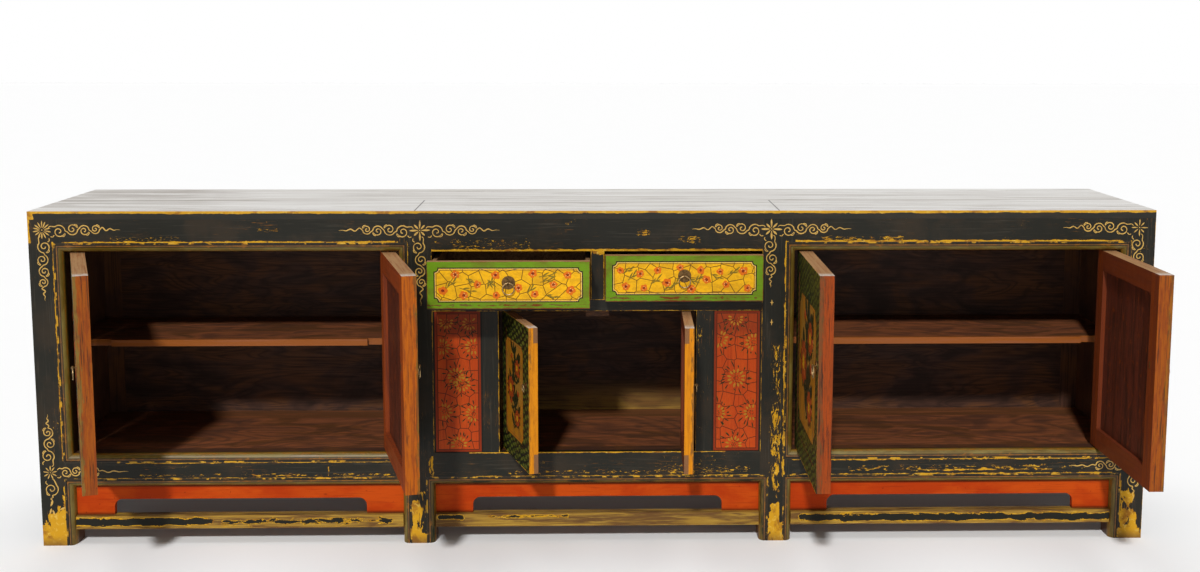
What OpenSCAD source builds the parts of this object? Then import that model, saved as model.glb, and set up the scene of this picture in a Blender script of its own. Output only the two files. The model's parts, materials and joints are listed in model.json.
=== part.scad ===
// Painted sideboard: a long, low cabinet with a black painted frame,
// two side cupboards with a shelf each, and a middle with two drawers over a small cupboard.
// It stands on the floor at z = 0, with its front towards -Y, and is drawn as it is photographed,
// with all six doors open and both drawers pulled out a little.

/* [Overall] */
// Length from side to side
length = 2500; // [2200:10:2800]
// Depth from the front face to the back of the posts
depth = 450; // [400:5:540]
// Height from the floor to the top face
height = 760; // [720:5:840]

/* [Top] */
// Thickness of the top boards
top_t = 18; // [12:1:24]
// Width of the front row of top boards
top_front_w = 206; // [140:2:280]

/* [Posts] */
// Width of each post, seen from the front
post_w = 73; // [66:1:84]
// Depth of the front posts
front_post_d = 58; // [52:1:70]
// Depth of the back posts
back_post_d = 60; // [48:1:72]

/* [Rails] */
// Depth of the front rails
rail_d = 46; // [42:1:50]
// Height of the rails under the top
top_rail_h = 72; // [60:1:84]
// Height of the sill rails under the doors
sill_rail_h = 76; // [66:1:90]
// Height of the top of the sill above the floor
sill_z = 211; // [195:1:225]
// Height of the rail under the drawers
drawer_rail_h = 26; // [22:1:34]
// Width of the upright between the drawers
divider_w = 30; // [24:1:40]
// Height of the stretchers near the floor
stretcher_h = 30; // [24:1:34]
// Depth of the stretchers
stretcher_d = 26; // [26:1:40]
// Room between the floor and the stretchers
stretcher_z = 36; // [26:1:42]
// How far the stretchers stand behind the front face
stretcher_in = 6; // [3:1:10]
// Length of the tenons that join rails to posts
tenon_l = 25; // [15:1:30]
// Thickness of the tenons
tenon_t = 10; // [8:1:11]
// How far the tenons stand behind the front face
tenon_in = 21; // [20.5:0.5:22]
// Height of the shoulder above and below each tenon
tenon_shoulder = 8; // [5:1:9]

/* [Side and back frames] */
// Height of the rails at the sides and back, under the top
upper_rail_h = 52; // [40:1:60]
// How far the side rails stand in from the outer side
side_rail_in = 8; // [4:1:12]
// Width of the side rails
side_rail_w = 46; // [40:1:54]
// How far the side panels stand in from the outer side
side_panel_in = 20; // [14:1:26]
// Thickness of the side panels and of the partitions
panel_t = 12; // [8:1:16]
// Depth of the grooves that hold the panels
groove_d = 8; // [4:1:10]
// Width of the bearers under the partitions
bearer_w = 60; // [44:1:64]
// Height of the bearers under the partitions
bearer_h = 34; // [24:1:44]
// Thickness of the back boards
back_t = 12; // [8:1:14]
// Thickness of the rails behind the back boards
back_rail_t = 34; // [24:1:40]
// How far the back boards reach down over the lower back rails
back_lap = 30; // [20:1:40]

/* [Mouldings and aprons] */
// Width of the mouldings round the openings
bead_w = 20; // [16:1:24]
// Depth of the mouldings round the door openings
bead_d = 14; // [12:0.5:14.5]
// How far the round of those mouldings falls back towards the opening
bead_fall = 11; // [5:0.5:12]
// Depth of the mouldings along the legs and under the sill
leg_bead_d = 20; // [18:0.5:20]
// How far the round of those mouldings falls back towards the opening
leg_bead_fall = 17; // [10:0.5:18]
// Width of the flat fillet along the outer edge of a moulding
fillet_w = 4; // [2:0.5:6]
// Width of the groove beside the fillet
quirk_w = 1.5; // [1:0.5:2]
// Depth of the groove beside the fillet
quirk_d = 1.5; // [1:0.5:2]
// Thickness of the aprons
apron_t = 14; // [12:1:20]
// How far the aprons stand behind the front face
apron_in = 18; // [14:1:20]
// Height of the cut-out in each apron
arch_h = 36; // [26:1:44]
// Solid length of apron at each end of the cut-out
arch_in = 84; // [60:2:130]
// Radius of the upper corners of the cut-out
arch_r = 18; // [12:1:24]

/* [Floors and shelves] */
// Thickness of the floor boards
floor_t = 14; // [10:1:18]
// How far the floor lies below the top of the sill
floor_drop = 4; // [2:1:8]
// Width of the back strip of each floor
floor_strip_w = 70; // [40:2:120]
// Thickness of the shelves
shelf_t = 15; // [10:1:20]
// Height of the top of the shelves above the floor
shelf_z = 448; // [400:2:500]
// How far the shelves' front edge stands behind the front face
shelf_in = 115; // [80:5:160]
// Thickness of the strip nailed to the front of each shelf
lipping_t = 10; // [6:1:14]
// How far the left shelf's strip stops short of the left and right posts
left_lipping_in = [60, 90];
// How far the right shelf's strip stops short of the left and right posts
right_lipping_in = [60, 46];
// Width of the bearers under the shelves
shelf_bearer_w = 20; // [14:1:28]
// Height of the bearers under the shelves
shelf_bearer_h = 20; // [14:1:30]

/* [Middle bay] */
// Height of the drawer openings
drawer_opening_h = 109; // [90:1:120]
// Width of each fixed panel beside the small doors
fixed_w = 110; // [90:1:130]
// Thickness of the fixed panels
fixed_t = 12; // [8:1:13]
// How far the fixed panels stand behind the front face
fixed_in = 3; // [2:1:4]
// Width of the stiles beside the small doors
middle_stile_w = 37; // [30:1:46]
// Depth of the stiles beside the small doors
middle_stile_d = 40; // [34:1:46]
// Length of the block that stops the small doors
stop_w = 52; // [40:1:70]
// Depth of the stop block
stop_d = 15; // [10:1:18]
// Height of the stop block
stop_h = 17; // [12:1:24]
// Gap between the closed small doors and the stop block
stop_gap = 0.5; // [0.3:0.1:1]

/* [Doors] */
// Thickness of the large doors
large_door_t = 30; // [24:1:34]
// Thickness of the small doors
small_door_t = 20; // [18:1:26]
// How far the closed doors stand behind the front face
door_in = 5; // [4:0.5:7]
// Gap above and below each door
door_gap = 3; // [2:0.5:4]
// Gap between a door's hinged edge and its post
hinge_gap = 1.5; // [1:0.5:3]
// Gap between the two doors of a pair when they are closed
meeting_gap = 2; // [1.5:0.5:4]
// Distance from a large door's hinged edge to its pivot
large_pivot_in = 24; // [20:1:28]
// Distance from a small door's hinged edge to its pivot
small_pivot_in = 21; // [17:1:24]
// Diameter of the large doors' pivot pins
large_pin_d = 8; // [7:0.5:9]
// Diameter of the small doors' pivot pins
small_pin_d = 8; // [6:0.5:9]
// Length of the pivot pins inside the rails
pin_l = 11; // [8:1:13]
// Radial clearance of the pins in their holes
pin_clear = 0.1; // [0.05:0.01:0.1]
// Width of the large doors' stiles
large_stile_w = 42; // [38:1:50]
// Width of the large doors' rails
large_rail_w = 44; // [36:1:52]
// Width of the small doors' stiles
small_stile_w = 32; // [28:1:38]
// Width of the small doors' upper rails
small_rail_w = 33; // [30:1:38]
// Width of the small doors' lower rails
small_lower_rail_w = 42; // [34:1:48]
// Height from the bottom of a small door to the end grain of its lower rail
lap_z = 6; // [4:1:10]
// Length of the tenons inside the doors' stiles
door_tenon_l = 20; // [12:1:24]
// Thickness of the large doors' panels
large_panel_t = 20; // [14:1:21]
// Thickness of the small doors' panels
small_panel_t = 11; // [9:1:13]
// How far each door's panel stands behind the door's outer face
panel_in = 0.6; // [0.3:0.1:1.5]
// Thickness and depth of the tongue round each door panel
tongue = 6; // [4:0.5:7]

/* [Drawers] */
// Thickness of the drawer fronts
drawer_front_t = 20; // [16:1:24]
// Thickness of the drawer sides and backs
drawer_side_t = 10; // [8:1:12]
// Thickness of the drawer bottoms
drawer_bottom_t = 6; // [5:1:8]
// Depth of the drawers from front to back
drawer_l = 370; // [330:5:378]
// Gap at each side of a drawer
drawer_side_gap = 2; // [1:0.5:3]
// Gap above a drawer front
drawer_top_gap = 5; // [3:0.5:8]
// Gap below a drawer front
drawer_bottom_gap = 1.5; // [1:0.5:2.5]
// Running gap between the drawer sides and the runners
drawer_run_gap = 0.3; // [0.2:0.1:0.6]
// How far the drawer sides stop below the top of the front
drawer_side_drop = 14; // [8:1:24]
// Height of the drawer bottom above the runners
drawer_bottom_z = 6; // [4:1:10]
// Height of the runners under the drawers
runner_h = 20; // [14:1:26]
// How far the runners reach under a drawer's edge
runner_reach = 22; // [14:1:30]
// Height of the guides beside the drawers
guide_h = 20; // [12:1:30]

/* [Ring pulls] */
// Outer diameters of the rings on the large doors, small doors and drawers
ring_d = [27, 16, 28];
// Thicknesses of those rings
ring_wire = [3, 2.2, 2.8];
// Diameters of their back plates
plate_d = [24, 15, 29];
// Thickness of the back plates
plate_t = 1; // [0.6:0.1:1.6]
// Thickness of the wire of the eyes that hold the rings
eye_wire = 2; // [1.6:0.1:2.4]
// Clearance between a ring and the inside of its eye
eye_clear = 0.3; // [0.2:0.05:0.5]
// Distance from a back plate to the centre line of its ring
ring_out = 5.5; // [5:0.1:7]
// Diameter of the nail that goes through the wood
nail_d = 3; // [2.4:0.2:3.6]
// Clearance round the nail
nail_clear = 0.1; // [0.05:0.05:0.2]
// Length of the clenched tail behind the wood
tail_l = 15; // [10:1:18]
// Distance from a large door's free edge to its pull
large_pull_in = 30; // [26:1:34]
// Distance from a small door's free edge to its pull
small_pull_in = 22; // [18:1:24]
// Height of the large doors' pulls above the floor
large_pull_z = 475; // [420:1:520]
// Height of the small doors' pulls above the floor
small_pull_z = 404; // [360:1:440]
// Height of the drawers' pulls above the middle of the fronts
drawer_pull_up = 6; // [0:1:12]

/* [Joints] */
// Hairline between pieces that are joined inside one sub-part
seam = 0.1; // [0.05:0.05:0.2]

/* [Opening as photographed] */
// How far each door stands open, from left to right, in degrees
door_open = [70, 104.8, 72, 88.6, 91, 89.8];
// How far each drawer is pulled out, left and right
drawer_out = [118, 36];

/* [Hidden] */
$fn = 48;
eps = 1;

body_top_z = height - top_t;
top_rail_z = body_top_z - top_rail_h;
apron_top_z = sill_z - sill_rail_h;
stretcher_top_z = stretcher_z + stretcher_h;
drawer_floor_z = top_rail_z - drawer_opening_h;
drawer_rail_z = drawer_floor_z - drawer_rail_h;
floor_z = sill_z - floor_drop;
floor_under_z = floor_z - floor_t;
shelf_under_z = shelf_z - shelf_t;

post_n = 4;
bay_n = post_n - 1;
bay_w = (length - post_n * post_w) / bay_n;
function post_x(i) = i * (post_w + bay_w);
function bay_x(i) = post_x(i) + post_w;
function bay_end(i) = bay_x(i) + bay_w;
function post_mid(i) = post_x(i) + post_w / 2;

back_y = depth - back_post_d;
back_rail_y = back_y + back_t;
inner_left = side_panel_in + panel_t;
inner_right = length - inner_left;
// The room of bay i, between the side panel or partition at its left and the one at its right
function room_x0(i) = i == 0 ? inner_left : post_mid(i) + panel_t / 2;
function room_x1(i) = i == bay_n - 1 ? inner_right : post_mid(i + 1) - panel_t / 2;

middle_x = length / 2;
middle_open_x0 = bay_x(1) + fixed_w + middle_stile_w;
middle_open_x1 = bay_end(1) - fixed_w - middle_stile_w;

// Doors are numbered from left to right: 0 and 1 at the left, 2 and 3 in the middle, 4 and 5 at the right
function is_small(i) = i == 2 || i == 3;
function hand(i) = i % 2 == 0 ? 1 : -1;
function door_bay(i) = i < 2 ? 0 : i < 4 ? 1 : 2;
function door_edge_x(i) = i == 2 ? middle_open_x0 : i == 3 ? middle_open_x1
    : hand(i) > 0 ? bay_x(door_bay(i)) : bay_end(door_bay(i));
function door_opening_w(i) = is_small(i) ? middle_open_x1 - middle_open_x0 : bay_w;
function door_top_z(i) = (is_small(i) ? drawer_rail_z : top_rail_z) - door_gap;
function door_t(i) = is_small(i) ? small_door_t : large_door_t;
function pivot_in(i) = is_small(i) ? small_pivot_in : large_pivot_in;
function pin_d(i) = is_small(i) ? small_pin_d : large_pin_d;
function stile_w(i) = is_small(i) ? small_stile_w : large_stile_w;
function upper_rail_w(i) = is_small(i) ? small_rail_w : large_rail_w;
function lower_rail_w(i) = is_small(i) ? small_lower_rail_w : large_rail_w;
function door_panel_t(i) = is_small(i) ? small_panel_t : large_panel_t;
function pull_in(i) = is_small(i) ? small_pull_in : large_pull_in;
function pull_z(i) = is_small(i) ? small_pull_z : large_pull_z;
function pull_kind(i) = is_small(i) ? 1 : 0;
function leaf_w(i) = (door_opening_w(i) - meeting_gap) / 2 - hinge_gap;
function leaf_x1(i) = leaf_w(i) - pivot_in(i);
function leaf_h(i) = door_top_z(i) - sill_z - door_gap;
function pivot_x(i) = door_edge_x(i) + hand(i) * (hinge_gap + pivot_in(i));
function pivot_y(i) = door_in + door_t(i) / 2;

// How far an open door stands in front of the front face
function door_reach(i) = leaf_x1(i) * sin(door_open[i])
    + door_t(i) / 2 * abs(cos(door_open[i])) - pivot_y(i);
reach = max([for (i = [0 : len(door_open) - 1]) door_reach(i)]);
// The origin lies halfway between the foremost door edge and the back
front_y = (reach - depth) / 2;

drawer_w = (bay_w - divider_w) / 2 - 2 * drawer_side_gap;
function drawer_x(i) = i == 0 ? bay_x(1) + drawer_side_gap : middle_x + divider_w / 2 + drawer_side_gap;
drawer_front_z = drawer_floor_z + drawer_bottom_gap;
drawer_front_h = drawer_opening_h - drawer_bottom_gap - drawer_top_gap;
drawer_side_z = drawer_floor_z + drawer_run_gap;
drawer_side_h = drawer_front_z + drawer_front_h - drawer_side_drop - drawer_side_z;
drawer_slot_z = drawer_floor_z + drawer_bottom_z;
drawer_slot_d = drawer_side_t / 2;
drawer_pull_z = drawer_front_z + drawer_front_h / 2 + drawer_pull_up;

function ring_tube(k) = ring_wire[k] / 2;
function ring_mid_r(k) = ring_d[k] / 2 - ring_tube(k);
eye_wire_r = eye_wire / 2;
function eye_hole_r(k) = ring_tube(k) + eye_clear;
tail_w = 2.5;
tail_t = 1;
// Room on each side of the nail in the cut for the ring's eye
eye_slot_room = 1;

// Part of a large door's thickness that its tenons take, and the shoulder above and below them
door_tenon_share = 0.34;
door_tenon_shoulder = 10;

side_panel_z0 = floor_under_z - groove_d;
side_panel_z1 = body_top_z - upper_rail_h + groove_d;
cross_y = front_post_d;
cross_l = back_y - front_post_d;

// Step in degrees between the points of a moulding's round
round_step = 10;

black = "#2a2926";
worn_yellow = "#d79a1c";
olive = "#80692a";
apron_red = "#c14a14";
ochre = "#9a7430";
old_wood = "#5a3a22";
door_green = "#5f7030";
door_edge = "#b5661f";
drawer_green = "#6e8a22";
aged_brass = "#6b5a3a";

// Moves what is drawn from the front left corner at the floor to its place round the origin
module from_corner() {
    translate([-length / 2, front_y, 0]) children();
}

module box(x, y, z, w, d, h) {
    translate([x, y, z]) cube([w, d, h]);
}

// Rails with tenons
// Each row is the height, the rail's height, the front and the depth of a rail
top_row = [top_rail_z, top_rail_h, 0, rail_d];
sill_row = [apron_top_z, sill_rail_h, 0, rail_d];
stretcher_row = [stretcher_z, stretcher_h, stretcher_in, stretcher_d];
drawer_row = [drawer_rail_z, drawer_rail_h, 0, rail_d];

module tenon(x, w, row) {
    box(x, tenon_in, row[0] + tenon_shoulder, w, tenon_t, row[1] - 2 * tenon_shoulder);
}

module tenoned_rail(i, row) {
    box(bay_x(i), row[2], row[0], bay_w, row[3], row[1]);
    tenon(bay_x(i) - tenon_l, bay_w + 2 * tenon_l, row);
}

module mortises(i) {
    for (side = [0, 1]) {
        bay = i - 1 + side;
        rows = concat([top_row, sill_row, stretcher_row], bay == 1 ? [drawer_row] : []);
        if (bay >= 0 && bay < bay_n)
            for (row = rows)
                tenon(side == 1 ? post_x(i) + post_w - tenon_l : post_x(i) - eps, tenon_l + eps, row);
    }
}

// Rebate of depth d for a moulding along an upright edge, on side 0 (left) or 1 (right) of post i
module upright_rebate(i, side, z0, z1, d) {
    box(side == 1 ? post_x(i) + post_w - bead_w : post_x(i) - eps, -eps, z0,
        bead_w + eps, d + eps, z1 - z0);
}

module rail_rebate(i, z0, z1, d) {
    box(bay_x(i) - eps, -eps, z0, bay_w + 2 * eps, d + eps, z1 - z0);
}

function has_upper_bead(bay) = bay == 0 || bay == bay_n - 1;

// Posts
module front_post(i) {
    difference() {
        box(post_x(i), 0, 0, post_w, front_post_d, body_top_z);
        mortises(i);
        for (side = [0, 1]) {
            bay = i - 1 + side;
            if (bay >= 0 && bay < bay_n)
                upright_rebate(i, side, -eps, apron_top_z + bead_w, leg_bead_d);
            if (has_upper_bead(bay))
                upright_rebate(i, side, sill_z - bead_w, top_rail_z + bead_w, bead_d);
        }
        panel_groove(i, front_post_d - groove_d);
        fixed_panel_groove(i);
    }
}

// The groove in a post for the side panel or partition behind it
module panel_groove(i, y) {
    x = i == 0 ? side_panel_in : i == post_n - 1 ? length - inner_left : post_mid(i) - panel_t / 2;
    top = i == 0 || i == post_n - 1 ? side_panel_z1 : body_top_z + eps;
    box(x, y, side_panel_z0, panel_t, groove_d + eps, top - side_panel_z0);
}

module fixed_panel_groove(i) {
    if (i == 1 || i == 2)
        box(i == 1 ? post_x(i) + post_w - groove_d : post_x(i) - eps, fixed_in, sill_z,
            groove_d + eps, fixed_t, drawer_rail_z - sill_z);
}

module front_post_left() {
    color(black) from_corner() front_post(0);
}

module front_post_inner_left() {
    color(black) from_corner() front_post(1);
}

module front_post_inner_right() {
    color(black) from_corner() front_post(2);
}

module front_post_right() {
    color(black) from_corner() front_post(3);
}

module back_posts() {
    color(old_wood) from_corner()
        for (i = [0 : post_n - 1])
            difference() {
                box(post_x(i), back_y, 0, post_w, back_post_d, body_top_z);
                panel_groove(i, back_y - eps);
            }
}

// Top
module top_boards() {
    joints = [0, post_mid(1), post_mid(2), length];
    color("#b9b4a8") from_corner() {
        for (i = [0 : bay_n - 1]) {
            x0 = joints[i] + (i > 0 ? seam : 0);
            box(x0, 0, body_top_z, joints[i + 1] - x0, top_front_w, top_t);
        }
        box(0, top_front_w + seam, body_top_z, length, depth - top_front_w - seam, top_t);
    }
}

// Front rails
module pivot_hole(i, z) {
    translate([pivot_x(i), pivot_y(i), z])
        cylinder(d = pin_d(i) + 2 * pin_clear, h = pin_l + door_gap + 2 * eps, $fn = 32);
}

module top_rails() {
    color(black) from_corner()
        for (i = [0 : bay_n - 1])
            difference() {
                tenoned_rail(i, top_row);
                if (has_upper_bead(i))
                    rail_rebate(i, top_rail_z - eps, top_rail_z + bead_w, bead_d);
                for (d = [0, 1, 4, 5])
                    if (door_bay(d) == i)
                        pivot_hole(d, top_rail_z - door_gap - eps);
            }
}

module sill_rails() {
    color(black) from_corner()
        for (i = [0 : bay_n - 1])
            difference() {
                tenoned_rail(i, sill_row);
                rail_rebate(i, apron_top_z - eps, apron_top_z + bead_w, leg_bead_d);
                if (has_upper_bead(i))
                    rail_rebate(i, sill_z - bead_w, sill_z + eps, bead_d);
                for (d = [0 : len(door_open) - 1])
                    if (door_bay(d) == i)
                        pivot_hole(d, sill_z - pin_l - eps);
            }
}

module drawer_rail() {
    color(black) from_corner()
        difference() {
            tenoned_rail(1, drawer_row);
            for (d = [2, 3])
                pivot_hole(d, drawer_rail_z - door_gap - eps);
        }
}

module drawer_divider() {
    color(black) from_corner()
        box(middle_x - divider_w / 2, 0, drawer_floor_z, divider_w, rail_d, drawer_opening_h);
}

module stretchers() {
    color(ochre) from_corner()
        for (i = [0 : bay_n - 1])
            tenoned_rail(i, stretcher_row);
}

// Mouldings
// The section of a moulding of depth d whose round falls back by fall: across its width
// and back from the front face
function bead_section(d, fall) = concat(
    [[0, 0], [fillet_w, 0], [fillet_w, -quirk_d], [fillet_w + quirk_w, -quirk_d]],
    [for (a = [0 : round_step : 90])
        [fillet_w + quirk_w + (bead_w - fillet_w - quirk_w) * sin(a), -fall * (1 - cos(a))]],
    [[bead_w, -d], [0, -d]]);

// A strip of moulding along +X, cut square (0) or mitred (1) at each end
module bead(l, cut0, cut1, d, fall) {
    intersection() {
        rotate([90, 0, 90])
            linear_extrude(l)
                polygon(bead_section(d, fall));
        translate([0, 0, -d - eps])
            linear_extrude(d + 2 * eps)
                polygon([[cut0 * seam, 0], [l - cut1 * seam, 0],
                    [l - cut1 * (bead_w + seam), bead_w], [cut0 * (bead_w + seam), bead_w]]);
    }
}

// Stands what is drawn flat upright in the front face, turned by an angle about its own corner
module on_front(x, z, turn) {
    translate([x, 0, z]) rotate([90, 0, 0]) rotate([0, 0, turn]) children();
}

module upper_beads(i) {
    x0 = bay_x(i) - bead_w;
    x1 = bay_end(i) + bead_w;
    z0 = sill_z - bead_w;
    z1 = top_rail_z + bead_w;
    on_front(x0, z0, 0) bead(x1 - x0, 1, 1, bead_d, bead_fall);
    on_front(x1, z1, 180) bead(x1 - x0, 1, 1, bead_d, bead_fall);
    on_front(x0, z1, -90) bead(z1 - z0, 1, 1, bead_d, bead_fall);
    on_front(x1, z0, 90) bead(z1 - z0, 1, 1, bead_d, bead_fall);
}

module lower_beads(i) {
    x0 = bay_x(i) - bead_w;
    x1 = bay_end(i) + bead_w;
    z1 = apron_top_z + bead_w;
    on_front(x1, z1, 180) bead(x1 - x0, 1, 1, leg_bead_d, leg_bead_fall);
    on_front(x0, z1, -90) bead(z1, 1, 0, leg_bead_d, leg_bead_fall);
    on_front(x1, 0, 90) bead(z1, 0, 1, leg_bead_d, leg_bead_fall);
}

module left_bay_mouldings() {
    color(olive) from_corner() {
        upper_beads(0);
        lower_beads(0);
    }
}

module middle_bay_mouldings() {
    color(olive) from_corner() lower_beads(1);
}

module right_bay_mouldings() {
    color(olive) from_corner() {
        upper_beads(2);
        lower_beads(2);
    }
}

// Aprons
module arch_outline(w, h, r) {
    union() {
        translate([0, -eps]) square([w, h - r + eps]);
        translate([r, 0]) square([w - 2 * r, h]);
        for (x = [r, w - r])
            translate([x, h - r]) circle(r);
    }
}

module aprons() {
    apron_h = apron_top_z - stretcher_top_z;
    color(apron_red) from_corner()
        for (i = [0 : bay_n - 1])
            translate([bay_x(i), apron_in + apron_t, stretcher_top_z])
                rotate([90, 0, 0])
                    linear_extrude(apron_t)
                        difference() {
                            square([bay_w, apron_h]);
                            translate([arch_in, 0]) arch_outline(bay_w - 2 * arch_in, arch_h, arch_r);
                        }
}

// Rails that run from front to back
module side_and_cross_rails() {
    lower_h = floor_under_z - apron_top_z;
    color(old_wood) from_corner() {
        on_both_sides()
            difference() {
                union() {
                    box(side_rail_in, cross_y, body_top_z - upper_rail_h, side_rail_w, cross_l, upper_rail_h);
                    box(side_rail_in, cross_y, apron_top_z, side_rail_w, cross_l, lower_h);
                    box(side_rail_in, cross_y, stretcher_z, stretcher_d, cross_l, stretcher_h);
                }
                side_panel_outline();
            }
        for (i = [1, 2])
            difference() {
                box(post_mid(i) - bearer_w / 2, cross_y, floor_under_z - bearer_h, bearer_w, cross_l, bearer_h);
                partition_outline(i);
            }
    }
}

// Draws the left side's pieces, and the same again for the right side
module on_both_sides() {
    children();
    translate([length, 0, 0]) mirror([1, 0, 0]) children();
}

module side_panel_outline() {
    box(side_panel_in, front_post_d - groove_d, side_panel_z0,
        panel_t, cross_l + 2 * groove_d, side_panel_z1 - side_panel_z0);
}

module partition_outline(i) {
    box(post_mid(i) - panel_t / 2, front_post_d - groove_d, side_panel_z0,
        panel_t, cross_l + 2 * groove_d, body_top_z - side_panel_z0);
}

module side_panels() {
    color(black) from_corner() on_both_sides() side_panel_outline();
}

module partitions() {
    color(old_wood) from_corner()
        for (i = [1, 2])
            partition_outline(i);
}

// Back
module back_rails() {
    lower_h = floor_under_z - apron_top_z;
    color(old_wood) from_corner()
        for (i = [0 : bay_n - 1]) {
            box(bay_x(i), back_rail_y, body_top_z - upper_rail_h, bay_w, back_rail_t, upper_rail_h);
            box(bay_x(i), back_rail_y, apron_top_z, bay_w, back_rail_t, lower_h);
            box(bay_x(i), back_rail_y, stretcher_z, bay_w, back_rail_t, stretcher_h);
        }
}

module back_boards() {
    color(old_wood) from_corner()
        for (i = [0 : bay_n - 1])
            box(bay_x(i) + seam, back_y, floor_under_z - back_lap, bay_w - 2 * seam, back_t,
                body_top_z - floor_under_z + back_lap);
}

// Floors and shelves
module floor_boards() {
    strip_y = back_y - floor_strip_w;
    color(old_wood) from_corner()
        for (i = [0 : bay_n - 1]) {
            union() {
                board(i, front_post_d + seam, floor_under_z, strip_y - front_post_d - 2 * seam, floor_t);
                box(bay_x(i) + seam, rail_d, floor_under_z,
                    bay_w - 2 * seam, front_post_d - rail_d + eps, floor_t);
            }
            board(i, strip_y, floor_under_z, floor_strip_w, floor_t);
        }
}

// A board that fills the room of bay i from side to side, but for a hairline at each end
module board(i, y, z, d, h) {
    box(room_x0(i) + seam, y, z, room_x1(i) - room_x0(i) - 2 * seam, d, h);
}

module shelf(i, lipping_in) {
    board_y = shelf_in + lipping_t + seam;
    board(i, board_y, shelf_under_z, back_y - board_y, shelf_t);
    box(bay_x(i) + lipping_in[0], shelf_in, shelf_under_z,
        bay_w - lipping_in[0] - lipping_in[1], lipping_t, shelf_t);
}

module left_shelf() {
    color(old_wood) from_corner() shelf(0, left_lipping_in);
}

module right_shelf() {
    color(old_wood) from_corner() shelf(2, right_lipping_in);
}

module shelf_bearers() {
    bearer_y = shelf_in + lipping_t;
    color(old_wood) from_corner()
        for (i = [0, 2])
            for (x = [room_x0(i), room_x1(i) - shelf_bearer_w])
                box(x, bearer_y, shelf_under_z - shelf_bearer_h,
                    shelf_bearer_w, back_y - bearer_y, shelf_bearer_h);
}

// Middle bay
module fixed_panel_outline() {
    for (x = [bay_x(1) - groove_d, bay_end(1) - fixed_w - groove_d])
        box(x, fixed_in, sill_z, fixed_w + 2 * groove_d, fixed_t, drawer_rail_z - sill_z);
}

module fixed_panels() {
    color(apron_red) from_corner() fixed_panel_outline();
}

module middle_stiles() {
    color(black) from_corner()
        difference() {
            for (x = [bay_x(1) + fixed_w, bay_end(1) - fixed_w - middle_stile_w])
                box(x, 0, sill_z, middle_stile_w, middle_stile_d, drawer_rail_z - sill_z);
            fixed_panel_outline();
        }
}

module drawer_runners() {
    run_l = back_y - cross_y;
    color(old_wood) from_corner() {
        on_both_sides() {
            box(room_x0(1), cross_y, drawer_floor_z - runner_h,
                bay_x(1) + runner_reach - room_x0(1), run_l, runner_h);
            box(room_x0(1), cross_y, drawer_floor_z + seam, bay_x(1) - room_x0(1), run_l, guide_h);
        }
        box(middle_x - divider_w / 2 - runner_reach, rail_d, drawer_floor_z - runner_h,
            divider_w + 2 * runner_reach, back_y - rail_d, runner_h);
        box(middle_x - divider_w / 2, rail_d, drawer_floor_z + seam, divider_w, back_y - rail_d, guide_h);
    }
}

module door_stop() {
    color(old_wood) from_corner()
        box(middle_x - stop_w / 2, door_in + small_door_t + stop_gap, drawer_rail_z - stop_h,
            stop_w, stop_d, stop_h);
}

// Doors
// A door is drawn shut and left-handed, with its pivot line at the origin and its bottom at z = 0:
// X runs to the free edge and Y from the outer to the inner face
module door_place(i) {
    translate([pivot_x(i), pivot_y(i), sill_z + door_gap])
        rotate([0, 0, -hand(i) * door_open[i]])
            if (hand(i) > 0)
                children();
            else
                mirror([1, 0, 0]) children();
}

module leaf_box(i, x0, x1, z0, z1) {
    translate([x0, -door_t(i) / 2, z0]) cube([x1 - x0, door_t(i), z1 - z0]);
}

// A panel's field and the tongue round it
module leaf_panel(i) {
    x0 = stile_w(i) - pivot_in(i);
    x1 = leaf_x1(i) - stile_w(i);
    z0 = lower_rail_w(i);
    z1 = leaf_h(i) - upper_rail_w(i);
    face_y = -door_t(i) / 2 + panel_in;
    tongue_y = face_y + (door_panel_t(i) - tongue) / 2;
    translate([x0, face_y, z0]) cube([x1 - x0, door_panel_t(i), z1 - z0]);
    translate([x0 - tongue, tongue_y, z0 - tongue])
        cube([x1 - x0 + 2 * tongue, tongue, z1 - z0 + 2 * tongue]);
}

// Each row is the height above the door's bottom and the width of a door's rail
function door_rail_rows(i) = [[0, lower_rail_w(i)], [leaf_h(i) - upper_rail_w(i), upper_rail_w(i)]];

// The tenon of a door rail in a stile, or its mortise when it is drawn with a clearance
// Side 0 is the hinged stile and side 1 the free one
module door_tenon(i, row, side, clear) {
    t = door_t(i) * door_tenon_share;
    x_in = (side == 0 ? stile_w(i) - pivot_in(i) : leaf_x1(i) - stile_w(i)) + (side == 0 ? eps : -eps);
    x_end = x_in + (side == 0 ? -1 : 1) * (door_tenon_l + eps + clear);
    translate([min(x_in, x_end), -t / 2 - clear, row[0] + door_tenon_shoulder - clear])
        cube([door_tenon_l + eps + clear, t + 2 * clear, row[1] - 2 * door_tenon_shoulder + 2 * clear]);
}

// On a small door the rail runs on behind the free stile as a half lap, so its end grain shows
module free_lap(i, row, clear) {
    z0 = row[0] == 0 ? lap_z : row[0];
    x0 = leaf_x1(i) - stile_w(i) - eps;
    translate([x0, -clear, z0 - clear])
        cube([stile_w(i) + eps + (clear > 0 ? eps : 0), door_t(i) / 2 + clear + (clear > 0 ? eps : 0),
            row[0] + row[1] - z0 + 2 * clear]);
}

module rail_end(i, row, side, clear) {
    if (side == 1 && is_small(i))
        free_lap(i, row, clear);
    else
        door_tenon(i, row, side, clear);
}

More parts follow.
